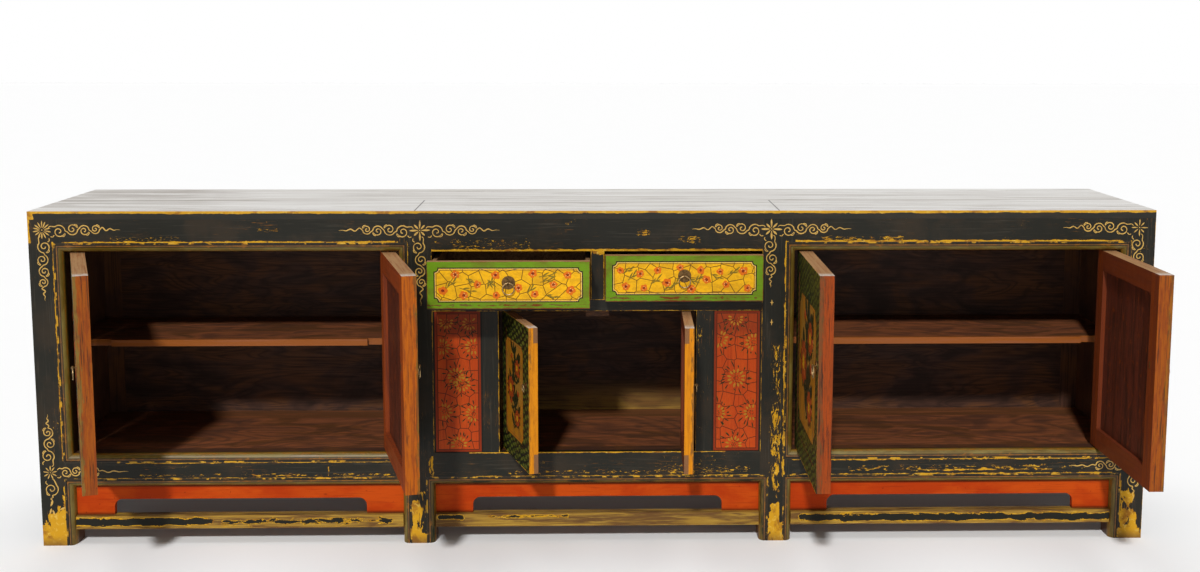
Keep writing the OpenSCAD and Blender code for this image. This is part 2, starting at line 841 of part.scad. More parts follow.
module door_stiles(i) {
    h = leaf_h(i);
    difference() {
        union() {
            leaf_box(i, 0, stile_w(i) - pivot_in(i), 0, h);
            intersection() {
                cylinder(r = pivot_in(i), h = h, $fn = 64);
                leaf_box(i, -pivot_in(i) - eps, eps, 0, h);
            }
            for (z = [-door_gap - pin_l + eps, h - eps])
                translate([0, 0, z]) cylinder(d = pin_d(i), h = pin_l + door_gap, $fn = 32);
        }
        for (row = door_rail_rows(i))
            rail_end(i, row, 0, seam);
        leaf_panel(i);
    }
    difference() {
        leaf_box(i, leaf_x1(i) - stile_w(i), leaf_x1(i), 0, h);
        for (row = door_rail_rows(i))
            rail_end(i, row, 1, seam);
        leaf_panel(i);
        nail(i, nail_clear);
    }
}

module door_rails(i) {
    for (row = door_rail_rows(i))
        difference() {
            union() {
                leaf_box(i, stile_w(i) - pivot_in(i) + seam, leaf_x1(i) - stile_w(i) - seam,
                    row[0], row[0] + row[1]);
                for (side = [0, 1])
                    rail_end(i, row, side, 0);
            }
            leaf_panel(i);
        }
}

module nail(i, clear) {
    translate([leaf_x1(i) - pull_in(i), -door_t(i) / 2 - eps, pull_z(i) - sill_z - door_gap])
        rotate([-90, 0, 0])
            cylinder(d = nail_d + 2 * clear, h = door_t(i) + 2 * eps, $fn = 24);
}

module door_frame(i) {
    from_corner() door_place(i) {
        door_stiles(i);
        door_rails(i);
    }
}

module door_panel(i) {
    from_corner() door_place(i) leaf_panel(i);
}

// Ring pulls
// A pull is drawn with its plate's back on the face y = 0, facing -Y, round the nail's axis
module pull_fitting(k, wood_t) {
    eye_r = eye_hole_r(k) + eye_wire_r;
    rotate([90, 0, 0])
        difference() {
            cylinder(d = plate_d[k], h = plate_t, $fn = 48);
            translate([0, 0, -eps]) cylinder(d = nail_d + 2 * nail_clear, h = plate_t + 2 * eps, $fn = 24);
        }
    rotate([-90, 0, 0]) cylinder(d = nail_d, h = wood_t + tail_t, $fn = 24);
    difference() {
        rotate([90, 0, 0]) cylinder(d = nail_d, h = plate_t + ring_out, $fn = 24);
        translate([0, -plate_t - ring_out, 0])
            rotate([0, 90, 0]) cylinder(r = eye_r, h = nail_d + 2 * eye_slot_room, center = true, $fn = 32);
    }
    translate([0, -plate_t - ring_out, 0])
        rotate([0, 90, 0])
            rotate_extrude($fn = 32)
                translate([eye_r, 0]) circle(eye_wire_r, $fn = 20);
    translate([-tail_w / 2, wood_t, -tail_l / 2]) cube([tail_w, tail_t, tail_l]);
}

module hanging_ring(k) {
    translate([0, -plate_t - ring_out, -ring_mid_r(k)])
        rotate([90, 0, 0])
            rotate_extrude($fn = 64)
                translate([ring_mid_r(k), 0]) circle(ring_tube(k), $fn = 20);
}

module on_door_pull(i) {
    from_corner() door_place(i)
        translate([leaf_x1(i) - pull_in(i), -door_t(i) / 2, pull_z(i) - sill_z - door_gap]) children();
}

module door_pull_plate(i) {
    color(aged_brass) on_door_pull(i) pull_fitting(pull_kind(i), door_t(i));
}

module door_ring(i) {
    color(aged_brass) on_door_pull(i) hanging_ring(pull_kind(i));
}

module left_door_1_frame() {
    color(door_edge) door_frame(0);
}

module left_door_1_panel() {
    color(door_green) door_panel(0);
}

module left_door_1_pull_plate() {
    door_pull_plate(0);
}

module left_door_1_ring() {
    door_ring(0);
}

module left_door_2_frame() {
    color(door_edge) door_frame(1);
}

module left_door_2_panel() {
    color(door_green) door_panel(1);
}

module left_door_2_pull_plate() {
    door_pull_plate(1);
}

module left_door_2_ring() {
    door_ring(1);
}

module middle_door_1_frame() {
    color(door_edge) door_frame(2);
}

module middle_door_1_panel() {
    color(door_green) door_panel(2);
}

module middle_door_1_pull_plate() {
    door_pull_plate(2);
}

module middle_door_1_ring() {
    door_ring(2);
}

module middle_door_2_frame() {
    color(door_edge) door_frame(3);
}

module middle_door_2_panel() {
    color(door_green) door_panel(3);
}

module middle_door_2_pull_plate() {
    door_pull_plate(3);
}

module middle_door_2_ring() {
    door_ring(3);
}

module right_door_1_frame() {
    color(door_edge) door_frame(4);
}

module right_door_1_panel() {
    color(door_green) door_panel(4);
}

module right_door_1_pull_plate() {
    door_pull_plate(4);
}

module right_door_1_ring() {
    door_ring(4);
}

module right_door_2_frame() {
    color(door_edge) door_frame(5);
}

module right_door_2_panel() {
    color(door_green) door_panel(5);
}

module right_door_2_pull_plate() {
    door_pull_plate(5);
}

module right_door_2_ring() {
    door_ring(5);
}

// Drawers
module drawer_place(i) {
    translate([drawer_x(i), -drawer_out[i], 0]) children();
}

// The bottom of a drawer, or the slots for it when it is drawn with a clearance
module drawer_bottom_outline(clear) {
    side_x = drawer_side_t - drawer_slot_d;
    box(side_x - clear, drawer_front_t - drawer_slot_d - clear, drawer_slot_z - clear,
        drawer_w - 2 * side_x + 2 * clear,
        drawer_l - drawer_front_t + drawer_slot_d + clear + (clear > 0 ? eps : 0),
        drawer_bottom_t + 2 * clear);
}

module drawer_front(i) {
    color(drawer_green) from_corner() drawer_place(i)
        difference() {
            box(0, 0, drawer_front_z, drawer_w, drawer_front_t, drawer_front_h);
            drawer_bottom_outline(seam);
            translate([drawer_w / 2, -eps, drawer_pull_z])
                rotate([-90, 0, 0])
                    cylinder(d = nail_d + 2 * nail_clear, h = drawer_front_t + 2 * eps, $fn = 24);
        }
}

module drawer_box(i) {
    back_z = drawer_slot_z + drawer_bottom_t + seam;
    color(old_wood) from_corner() drawer_place(i) {
        for (x = [0, drawer_w - drawer_side_t])
            difference() {
                box(x, drawer_front_t, drawer_side_z, drawer_side_t, drawer_l - drawer_front_t, drawer_side_h);
                drawer_bottom_outline(seam);
            }
        drawer_bottom_outline(0);
        box(drawer_side_t + seam, drawer_l - drawer_side_t, back_z,
            drawer_w - 2 * drawer_side_t - 2 * seam, drawer_side_t, drawer_side_z + drawer_side_h - back_z);
    }
}

module drawer_pull(i) {
    from_corner() drawer_place(i) translate([drawer_w / 2, 0, drawer_pull_z]) children();
}

module left_drawer_front() {
    drawer_front(0);
}

module left_drawer_box() {
    drawer_box(0);
}

module left_drawer_pull_plate() {
    color(aged_brass) drawer_pull(0) pull_fitting(2, drawer_front_t);
}

module left_drawer_ring() {
    color(aged_brass) drawer_pull(0) hanging_ring(2);
}

module right_drawer_front() {
    drawer_front(1);
}

module right_drawer_box() {
    drawer_box(1);
}

module right_drawer_pull_plate() {
    color(aged_brass) drawer_pull(1) pull_fitting(2, drawer_front_t);
}

module right_drawer_ring() {
    color(aged_brass) drawer_pull(1) hanging_ring(2);
}

front_post_left();
front_post_inner_left();
front_post_inner_right();
front_post_right();
back_posts();
top_boards();
top_rails();
sill_rails();
drawer_rail();
drawer_divider();
left_bay_mouldings();
middle_bay_mouldings();
right_bay_mouldings();
aprons();
stretchers();
side_and_cross_rails();
side_panels();
back_rails();
back_boards();
partitions();
floor_boards();
left_shelf();
right_shelf();
shelf_bearers();
fixed_panels();
middle_stiles();
drawer_runners();
door_stop();
left_door_1_frame();
left_door_1_panel();
left_door_1_pull_plate();
left_door_1_ring();
left_door_2_frame();
left_door_2_panel();
left_door_2_pull_plate();
left_door_2_ring();
middle_door_1_frame();
middle_door_1_panel();
middle_door_1_pull_plate();
middle_door_1_ring();
middle_door_2_frame();
middle_door_2_panel();
middle_door_2_pull_plate();
middle_door_2_ring();
right_door_1_frame();
right_door_1_panel();
right_door_1_pull_plate();
right_door_1_ring();
right_door_2_frame();
right_door_2_panel();
right_door_2_pull_plate();
right_door_2_ring();
left_drawer_front();
left_drawer_box();
left_drawer_pull_plate();
left_drawer_ring();
right_drawer_front();
right_drawer_box();
right_drawer_pull_plate();
right_drawer_ring();
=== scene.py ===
"""Dresses the painted sideboard: aged lacquer and paint, gilt scrolls, painted drawers and doors."""
import functools
import json
import math
import random
from collections import namedtuple

import bmesh
import bpy
from bpy.props import FloatProperty, FloatVectorProperty, IntProperty, PointerProperty
from mathutils import Matrix, Vector


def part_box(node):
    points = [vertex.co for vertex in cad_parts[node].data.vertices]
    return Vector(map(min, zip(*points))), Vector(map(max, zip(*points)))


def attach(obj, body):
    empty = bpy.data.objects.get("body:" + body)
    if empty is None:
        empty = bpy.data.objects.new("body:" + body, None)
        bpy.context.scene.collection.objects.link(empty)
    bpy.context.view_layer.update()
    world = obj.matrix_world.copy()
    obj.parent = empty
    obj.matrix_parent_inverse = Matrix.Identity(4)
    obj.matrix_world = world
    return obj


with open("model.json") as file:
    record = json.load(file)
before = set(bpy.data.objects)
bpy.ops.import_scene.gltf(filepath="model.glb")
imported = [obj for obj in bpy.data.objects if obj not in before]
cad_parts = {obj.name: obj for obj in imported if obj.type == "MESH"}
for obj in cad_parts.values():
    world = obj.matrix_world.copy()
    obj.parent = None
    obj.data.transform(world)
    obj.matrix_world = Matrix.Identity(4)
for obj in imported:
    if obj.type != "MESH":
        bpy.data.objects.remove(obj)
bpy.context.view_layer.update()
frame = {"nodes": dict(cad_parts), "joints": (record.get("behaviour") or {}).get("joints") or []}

bl_info = {
    "name": "Painted sideboard",
    "version": (1, 0, 0),
    "blender": (4, 5, 0),
    "location": "3D View > Sidebar > Sideboard",
    "description": "Paints, gilds and ages a long sideboard with six doors and two drawers",
    "category": "Object",
}

# Millimetres in a metre
MM = 1000.0

# The front left corner at the floor, from which places on the carcass are measured
CORNER = Vector((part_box("front_post_left")[0].x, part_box("front_post_left")[0].y, 0.0))


def span(node, axis):
    """The lowest and highest place of a node along an axis, in millimetres from the corner."""
    low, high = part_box(node)
    return (low[axis] - CORNER[axis]) * MM, (high[axis] - CORNER[axis]) * MM


FRONT_POSTS = ("front_post_left", "front_post_inner_left", "front_post_inner_right", "front_post_right")
POSTS = [span(node, 0) for node in FRONT_POSTS]
BAYS = [(POSTS[i][1], POSTS[i + 1][0]) for i in range(3)]
LENGTH = POSTS[3][1]
DEPTH = span("back_posts", 1)[1]
TOP_UNDER, TOP = span("top_boards", 2)
RAIL_BOTTOM = span("top_rails", 2)[0]
SILL_BOTTOM, SILL = span("sill_rails", 2)
DRAWER_RAIL = span("drawer_rail", 2)
DIVIDER = span("drawer_divider", 0)
STRETCHER = span("stretchers", 2)
STRETCHER_FRONT = span("stretchers", 1)[0]
# Where the front boards of the top meet its long back board
TOP_JOINT = 206.0
# Width of the stiles beside the small doors
STILE = 37.0
MIDDLE_OPENING = tuple(
    span("middle_stiles", 0)[side] + (1 - 2 * side) * STILE for side in (0, 1))
FIXED_IN = span("fixed_panels", 1)[0]
# Width of the mouldings round the openings
BEAD = POSTS[0][1] - span("left_bay_mouldings", 0)[0]
BEAD_BOTTOM = SILL_BOTTOM + BEAD
BEAD_TOP = RAIL_BOTTOM + BEAD
# Faces that look backwards from further back than this are bare: the back of the cabinet
BARE_BACK = 400.0
# How far behind the front the frame is painted; on its ends, twice as far
PAINT_DEPTH = 15.0
DOORS = ("left_door_1", "left_door_2", "middle_door_1", "middle_door_2", "right_door_1", "right_door_2")
DRAWERS = ("left_drawer", "right_drawer")

# The camera, fitted to the corners of the cabinet: its place from the corner in millimetres,
# its turn and tilt in degrees, its lens and the shift of its frame
CAMERA_PLACE = (1234.1, -3190.8, 1152.1)
CAMERA_YAW = 1.555
CAMERA_PITCH = -7.356
CAMERA_ROLL = 0.123
CAMERA_LENS = 43.573
CAMERA_SHIFT = (-0.02455, -0.0552)


def linear(code):
    """The linear colour of an sRGB hex value."""
    values = [int(code[i:i + 2], 16) / 255 for i in (1, 3, 5)]
    return tuple(v / 12.92 if v <= 0.04045 else ((v + 0.055) / 1.055) ** 2.4 for v in values)


def paint(name, description, code):
    """A colour that a user may change."""
    return FloatVectorProperty(
        name=name, description=description, default=linear(code), subtype="COLOR", size=3, min=0, max=1)


def length(name, description, millimetres):
    """A size that a user may change."""
    return FloatProperty(
        name=name, description=description, default=millimetres / MM, min=0, unit="LENGTH", precision=4)


class SideboardPaints(bpy.types.PropertyGroup):
    """Colours of the paints, woods and metal"""
    lacquer: paint("Lacquer", "Black lacquer of the frame", "#1B1A13")
    lacquer_brown: paint("Brown lacquer", "Lacquer where it has thinned", "#2A2217")
    lacquer_dust: paint("Dusty lacquer", "Grey bloom in the grain of the lacquer", "#3E3A30")
    ground: paint("Ground", "Yellow ground that shows where the lacquer is rubbed through", "#BC8A10")
    ground_orange: paint("Orange ground", "Darker parts of the yellow ground", "#86540F")
    ground_pale: paint("Pale ground", "Rubbed and faded parts of the yellow ground", "#CDA846")
    gilt: paint("Gilt", "Gold paint of the scrolls and flowers", "#BC9440")
    # The dark gilt also gives the tone of the painted pool of light low on the middle bay's back boards
    gilt_dark: paint("Dark gilt", "Gold paint where it is thin", "#94702E")
    olive: paint("Olive", "Olive paint of the mouldings", "#5E4A18")
    olive_light: paint("Light olive", "Rubbed paint on the mouldings", "#70602A")
    # The dark olive also gives the painted shade on the aprons under the moulding and above the stretcher
    olive_dark: paint("Dark olive", "Dirt in the grooves of the mouldings", "#241C0E")
    apron: paint("Apron", "Orange-red paint of the aprons and fixed panels", "#A03206")
    apron_dark: paint("Dark apron", "Dirtier parts of the orange-red paint", "#6A1E06")
    apron_light: paint("Light apron", "Rubbed parts of the orange-red paint", "#B4460C")
    petal: paint("Petals", "Ochre petals on the fixed panels", "#A06C1A")
    panel: paint("Panel", "Orange-red field of the fixed panels", "#AA3C08")
    ochre: paint("Ochre", "Ochre of the stretchers", "#92702A")
    ochre_dark: paint("Dark ochre", "Bare and dirty ochre on the stretchers", "#604220")
    # The top's pale tones are partly a painted reflection of the bright surroundings on its waxed boards
    top: paint("Top", "Bleached wood of the top", "#CECAC4")
    top_dark: paint("Top grain", "Grain and dirt of the top", "#7E6F62")
    top_pale_reflection: paint("Pale top", "Palest wood of the top", "#E0DEDA")
    inside: paint("Inside", "Old softwood inside the cabinet", "#4A3024")
    # The dark inside tone also gives the painted shadow of the drawers on the fixed panels
    inside_dark: paint("Dark inside", "Dark grain inside the cabinet", "#281912")
    floor_board: paint("Floor boards", "Redder wood of the cabinet's floor and shelves", "#8A5030")
    inside_light: paint("Light inside", "Rubbed wood inside the cabinet", "#5E3A20")
    lipping: paint("Lipping", "Strip along the front of the shelves", "#884A16")
    raw: paint("Raw wood", "Old unpainted softwood of the back", "#8A6A48")
    raw_dark: paint("Raw grain", "Grain of the unpainted softwood", "#5A4029")
    bare: paint("Bare edge", "Bare wood of the doors' top edges and the drawer boxes", "#A07A54")
    door_edge: paint("Door edge", "Ochre-brown free edges of the left and middle doors", "#A65404")
    door_edge_brown: paint("Brown door edge", "Brown free edges of the outermost doors", "#8E480A")
    door_edge_ochre: paint("Ochre door edge", "Ochre free edges of the small doors", "#C87C04")
    door_edge_red: paint("Red door edge", "Red-brown free edges of the right doors", "#8E3A0A")
    end_grain: paint("End grain", "Grey-brown end grain on the doors' edges", "#604838")
    door_inner: paint("Door inside", "Orange-brown inner faces of the doors' stiles", "#78340E")
    door_inner_light: paint("Light door inside", "Redder inner face of the second door", "#9A420E")
    door_inner_dark: paint("Dark door inside", "Red-brown inner faces of the doors' panels", "#58281A")
    scale_green: paint("Door green", "Dark green behind the scales of the doors", "#141C08")
    scale_line: paint("Scale lines", "Yellow-green lines of the scales", "#5C6220")
    medallion: paint("Medallion", "Ochre medallions of the doors", "#A66C12")
    spray_dark: paint("Leaves", "Dark leaves painted on the doors", "#20260F")
    spray_red: paint("Door flowers", "Orange-red flowers painted on the doors", "#8E3A10")
    drawer_green: paint("Drawer green", "Green border of the drawer fronts", "#60820E")
    drawer_yellow: paint("Drawer yellow", "Yellow field of the drawer fronts", "#E0A60C")
    drawer_line: paint("Drawer lines", "Dark lines of the drawer fronts", "#2E1A0A")
    cream: paint("Cream", "Cream line and flower tips of the drawer fronts", "#D0B878")
    blossom: paint("Blossom", "Orange-red blossoms of the drawer fronts", "#C8620E")
    blossom_heart: paint("Blossom heart", "Dark red hearts of the blossoms", "#6A120A")
    twig: paint("Twigs", "Olive-brown twigs and leaves", "#7A661A")
    brass: paint("Brass", "Brass of the pull plates", "#7A5C38")
    # Brighter brass of the rings: a painted highlight that sets them off against their plates
    brass_ring_highlight: paint("Rubbed brass", "Brass of the rings, rubbed by hands", "#C8A878")
    brass_dark: paint("Dark brass", "Tarnish on the pulls", "#4A3A26")
    floor: paint("Floor", "Pale floor", "#F2F2F2")


class SideboardSizes(bpy.types.PropertyGroup):
    """Sizes of the painted ornament and of the stage"""
    paint_height: length("Paint height", "How far painted ornament stands proud", 0.4)
    scroll_line: length("Scroll line", "Width of the gilt line of the scrolls", 2.2)
    ice_cell: length("Ice cell", "Size of the cracked-ice cells on the drawers", 27)
    lattice_cell: length("Lattice cell", "Size of the lattice cells on the fixed panels", 27)
    scale_width: length("Scale width", "Width of the scales painted on the doors", 34)
    blossom_reach: length("Blossom", "Radius of the blossoms on the drawers", 10)
    floor_reach: length("Floor", "Half the width of the floor", 30000)
    seed: IntProperty(name="Seed", description="Start of the hand's small variations", default=7, min=0)


def paints():
    """The colours that a user may change."""
    return bpy.context.scene.sideboard_paints


def size_of(name):
    """A size of the ornament in millimetres."""
    return getattr(bpy.context.scene.sideboard_sizes, name) * MM


# Materials
# What each short name stands for: a shader node, its settings, its inputs in order and its output
NODE_KINDS = {
    "mix": ("Mix", {"data_type": "RGBA"}, (0, 6, 7), 2),
    "noise": ("TexNoise", {}, ("Vector", "Scale", "Detail", "Roughness", "Distortion"), 0),
    "cracks": ("TexVoronoi", {"feature": "DISTANCE_TO_EDGE"}, ("Vector", "Scale", "Randomness"), 0),
    "fade": ("MapRange", {}, (0, 1, 2, 3, 4), 0),
    "ease": ("MapRange", {"interpolation_type": "SMOOTHSTEP"}, (0, 1, 2, 3, 4), 0),
    "stretch": ("VectorMath", {"operation": "MULTIPLY_ADD"}, (0, 1, 2), 0),
    "no lower": ("VectorMath", {"operation": "MAXIMUM"}, (0, 1), 0),
    "no higher": ("VectorMath", {"operation": "MINIMUM"}, (0, 1), 0),
    "gap": ("VectorMath", {"operation": "DISTANCE"}, (0, 1), 1),
    "turn": ("Mapping", {}, (0, 1, 2, 3), 0),
    "join": ("CombineXYZ", {}, (0, 1, 2), 0),
    "x": ("SeparateXYZ", {}, (0,), 0),
    "y": ("SeparateXYZ", {}, (0,), 1),
    "z": ("SeparateXYZ", {}, (0,), 2),
    "object place": ("TexCoord", {}, (), "Object"),
    "object normal": ("TexCoord", {}, (), "Normal"),
    "painted value": ("Attribute", {}, (), "Fac"),
    "bump": ("Bump", {}, ("Height", "Distance"), 0),
    "surface": ("BsdfPrincipled", {}, ("Base Color", "Roughness", "Normal"), 0),
    "output": ("OutputMaterial", {}, (0,), None),
    "direction": ("TexCoord", {}, (), "Generated"),
    "surroundings": ("Background", {}, ("Color", "Strength"), 0),
    "world output": ("OutputWorld", {}, (0,), None),
}


def add_node(tree, kind, *inputs, **settings):
    """Adds a node of one of the kinds above, or else the sum that its name says, and gives its output.
    An input is another node's output, a value or the name of one of the paints."""
    maths = ("Math", {"operation": kind.upper()}, (0, 1, 2), 0)
    type_name, preset, sockets, output = NODE_KINDS.get(kind, maths)
    node = tree.nodes.new("ShaderNode" + type_name)
    for name, value in {**preset, **settings}.items():
        setattr(node, name, value)
    for socket, value in zip(sockets, inputs):
        if isinstance(value, bpy.types.NodeSocket):
            tree.links.new(value, node.inputs[socket])
        elif node.inputs[socket].type == "RGBA":
            tone = getattr(paints(), value) if isinstance(value, str) else value
            node.inputs[socket].default_value = (*tone[:3], 1.0)
        else:
            node.inputs[socket].default_value = value
    return node if output is None else node.outputs[output]


def new_material(name):
    """An empty material, and the function that adds a node to it."""
    material = bpy.data.materials.new(name)
    material.use_nodes = True
    material.node_tree.nodes.clear()
    return material, functools.partial(add_node, material.node_tree)


def finish_material(material, colour, roughness, height=None, relief=0.3, specular=0.15, metallic=0.0):
    """Ends a material with its colour, roughness and a relief of so many millimetres, and gives it. The
    roughness is a node, a number, or a pattern and the roughness where it is low and high."""
    add = functools.partial(add_node, material.node_tree)
    if isinstance(roughness, tuple):
        pattern, low, high = roughness
        roughness = add("fade", pattern, 0.3, 0.7, low, high)
    normal = () if height is None else (add("bump", height, relief / MM),)
    shader = add("surface", colour, roughness, *normal)
    shader.node.inputs["Specular IOR Level"].default_value = specular
    shader.node.inputs["Metallic"].default_value = metallic
    add("output", shader)
    return material


def on_carcass(add):
    """A point's place in millimetres from the front left corner at the floor."""
    return add("stretch", add("object place"), (MM, MM, MM), tuple(-v * MM for v in CORNER))


def looks_back(add):
    """1 on faces that look backwards, 0 on others."""
    return add("ease", add("y", add("object normal")), 0.4, 0.6, 0.0, 1.0)


def streaks(add, place, lengths, seed, detail=4.0, roughness=0.6, distortion=0.3):
    """Noise whose grains are so many millimetres long along each axis."""
    shrink = tuple(1 / v for v in lengths)
    shift = (seed, 1.7 * seed, 2.3 * seed)
    return add("noise", add("stretch", place, shrink, shift), 1.0, detail, roughness, distortion)


def grain_lengths(axis, along, across):
    """The lengths of wood grain that runs along an axis."""
    return tuple(along if i == axis else across for i in range(3))


def away(add, value, other):
    """How far a value lies from another."""
    return add("absolute", add("subtract", value, other))


def slant(add, across, up):
    """The length of the slanting side over two square ones."""
    return add("sqrt", add("add", add("multiply", across, across), add("multiply", up, up)))


def box_gap(add, place, low, high):
    """How far a point lies from a box, in millimetres."""
    nearest = add("no higher", add("no lower", place, low), high)
    return add("gap", place, nearest)


def over(add, base, tone, pattern, low, high, share=1.0):
    """A base with a tone over it: none where a pattern is low, and the given share where it is high."""
    return add("mix", add("ease", pattern, low, high, 0.0, share), base, tone)


def under(add, base, tone, pattern, low, high, share=1.0):
    """A base with a tone over it: the given share where a pattern is low, and none where it is high."""
    return add("mix", add("ease", pattern, low, high, share, 0.0), base, tone)


def line_over(add, base, tone, value, at, half, edge, share=1.0):
    """A base with a line of a tone over it, where a value is near another. The line is solid to half its
    width and gone at its edge."""
    return under(add, base, tone, away(add, value, at), half, edge, share)


# A worn patch: a box in millimetres, how far wear spreads round it, how much of that is always worn,
# how much comes and goes along it, how long its flakes are, and the axis along which they run
Mark = namedtuple("Mark", "low high reach cover swing run way", defaults=(24.0, None))


def worn_line(x0, z0, x1, z1, reach, cover, swing, run=24.0, way=None, y=0.0):
    """A worn patch along a line or over a rectangle of the front, from its low corner to its high one."""
    return Mark((x0, y, z0), (x1, y, z1), reach, cover, swing, run, way)


def worn_ends(y0, z0, y1, z1, reach, cover, swing, *rest):
    """The same worn patch on the left and right ends of the sideboard, from one y and z to another."""
    return [Mark((x - 1, y0, z0), (x, y1, z1), reach, cover, swing, *rest) for x in (0, LENGTH + 1)]


def wear_depth(add, place, marks, seed):
    """How far inside the nearest worn patch a point lies, in millimetres, below nothing outside."""
    deepest = None
    for number, mark in enumerate(marks):
        sides = [high - low for low, high in zip(mark.low, mark.high)]
        long_axis = sides.index(max(sides)) if mark.way is None else mark.way
        lengths = tuple(mark.run if i == long_axis else mark.run / 3.2 for i in range(3))
        wander = streaks(add, place, lengths, seed + 5.1 * number, 4.0, 0.7, 0.6)
        swing = 2 * mark.swing * mark.reach * 1.6
        reach = add("multiply_add", wander, swing, mark.reach * mark.cover - swing / 2)
        depth = add("subtract", reach, box_gap(add, place, mark.low, mark.high))
        deepest = depth if deepest is None else add("maximum", deepest, depth)
    return deepest


def worn_ground(add, place, seed):
    """The yellow ground under the lacquer: pale where it is rubbed, orange where it is dirty."""
    drift = streaks(add, place, (40, 12, 40), 11.0 + seed)
    fine = streaks(add, place, (9, 5, 9), 23.0 + seed)
    orange = over(add, "ground", "ground_orange", drift, 0.52, 0.66, 0.9)
    return over(add, orange, "ground_pale", fine, 0.54, 0.68, 0.7)


def painted_faces(add, place):
    """Where the frame is painted: on its front, to the depth of the mouldings, and on its two ends,
    but neither inside nor behind."""
    front = add("ease", add("y", place), PAINT_DEPTH, PAINT_DEPTH + 2, 1.0, 0.0)
    bare = LENGTH / 2 - PAINT_DEPTH * 2
    end = add("ease", away(add, add("x", place), LENGTH / 2), bare, bare + 2, 0.0, 1.0)
    rear = add("ease", add("y", add("object normal")), 0.4, 0.6, 1.0, 0.0)
    return add("multiply", add("maximum", front, end), rear)


def black_lacquer(name, marks, axis, seed):
    """Black lacquer brushed over a yellow ground on softwood. It gives a dim uneven sheen, faint grain
    under the paint, and yellow ground where hands and doors have rubbed it through. Faces that look
    into the cabinet or behind it show the bare wood."""
    material, add = new_material(name)
    place = on_carcass(add)
    grain = streaks(add, place, grain_lengths(axis, 120, 3.2), seed)
    cloud = streaks(add, place, (90, 60, 90), seed + 4)
    black = over(add, "lacquer", "lacquer_brown", cloud, 0.45, 0.7)
    black = over(add, black, "lacquer_dust", grain, 0.54, 0.72, 0.6)
    scratch = streaks(add, place, grain_lengths(axis, 46, 1.5), seed + 21, 2.0, 0.5, 1.4)
    zone = streaks(add, place, (110, 60, 80), seed + 13)
    scratch = add("multiply", add("ease", scratch, 0.665, 0.7, 0.0, 0.8),
                  add("ease", zone, 0.48, 0.62, 0.0, 1.0))
    black = add("mix", scratch, black, "ground_orange")
    chips = add("ease", streaks(add, place, (7, 4, 6), seed + 9, 3.0, 0.7), 0.64, 0.68, 0.0, 1.0)
    chips = add("multiply", chips, add("ease", zone, 0.58, 0.7, 0.0, 1.0))
    depth = wear_depth(add, place, marks, seed + 3)
    worn = add("maximum", add("ease", depth, -0.35, 0.45, 0.0, 1.0), chips)
    rubbed = over(add, black, "ground_orange", depth, -1.3, 0.2, 0.35)
    colour = add("mix", worn, rubbed, worn_ground(add, place, seed))
    foot = add("ease", add("z", place), 0.0, 26.0, 0.8, 0.0)
    dirt = add("multiply", foot, add("ease", cloud, 0.3, 0.6, 0.5, 1.0))
    colour = add("mix", dirt, colour, "ochre_dark")
    fibres = streaks(add, place, grain_lengths(axis, 190, 4), seed + 17, 6.0, 0.65, 0.6)
    timber = over(add, "inside_light", "inside", cloud, 0.35, 0.6)
    timber = over(add, timber, "inside_dark", fibres, 0.48, 0.68, 0.8)
    raw = over(add, "raw", "raw_dark", fibres, 0.45, 0.68, 0.8)
    behind = add("multiply", looks_back(add), add("greater_than", add("y", place), BARE_BACK))
    timber = add("mix", behind, timber, raw)
    colour = add("mix", painted_faces(add, place), timber, colour)
    roughness = add("multiply_add", worn, 0.22, add("fade", cloud, 0.3, 0.7, 0.36, 0.5))
    height = add("subtract", add("multiply", grain, 0.35), worn)
    return finish_material(material, colour, roughness, height, 0.25, specular=0.2)


def wood(name, axis, tones, reach, seed, lighter=None, roughness=0.6, figure=0.5, rear=None, painted_light_pool=None):
    """Old softwood, planed by hand and darkened by age. It gives yearly rings that run out into long
    arches and eyes, fine grain and soft blotches. The tones are dark, middle and light, and reach is the
    length and width of the grain. lighter is a box in millimetres and the tone that it has, figure is how
    strongly the rings show, rear is the tone of faces that look backwards, and the last argument is a
    height and the tone of a painted pool of light on the back boards just above it, in the middle bay."""
    dark, middle, light = tones
    material, add = new_material(name)
    place = on_carcass(add)
    along, across = reach
    grain = streaks(add, place, grain_lengths(axis, along, across), seed, 6.0, 0.65, 0.6)
    swell = streaks(add, place, grain_lengths(axis, along * 2.6, across * 16), seed + 5, 2.0, 0.4, 0.9)
    rings = add("pingpong", add("multiply", swell, 16.0), 0.5)
    ring = add("ease", rings, 0.0, 0.34, 1.0, 0.0)
    blotches = streaks(add, place, grain_lengths(axis, 150, 70), seed + 8, 3.0, 0.55, 1.0)
    colour = under(add, middle, light, blotches, 0.36, 0.56)
    colour = add("mix", add("multiply", ring, figure), colour, dark)
    colour = over(add, colour, dark, grain, 0.46, 0.68, 0.65)
    colour = over(add, colour, dark, blotches, 0.5, 0.68, 0.7)
    # Painted light: a pool of light on the foot of the back boards, just above the given height, in the
    # middle bay only
    if painted_light_pool:
        height, tone = painted_light_pool
        off_middle = away(add, add("x", place), LENGTH / 2)
        bare_wood_and_light_pool = add("multiply", add("ease", add("z", place), height, height + 90, 1.0, 0.0),
                   add("ease", blotches, 0.34, 0.6, 0.3, 1.0))
        bare_wood_and_light_pool = add("multiply", bare_wood_and_light_pool, add("less_than", off_middle, (BAYS[1][1] - BAYS[1][0]) / 2))
        colour = add("mix", bare_wood_and_light_pool, colour, over(add, tone, middle, grain, 0.46, 0.66, 0.7))
    if rear:
        faded = add("mix", add("multiply", ring, 0.4), rear, middle)
        faded = over(add, faded, middle, grain, 0.46, 0.68, 0.6)
        colour = add("mix", looks_back(add), colour, faded)
    if lighter:
        low, high, tone = lighter
        strip = over(add, tone, middle, grain, 0.44, 0.66, 0.7)
        colour = under(add, colour, strip, box_gap(add, place, low, high), 0.0, 1.0)
    rough = add("fade", grain, 0.35, 0.7, roughness - 0.08, roughness + 0.1)
    return finish_material(material, colour, rough, grain, 0.25, specular=0.2)


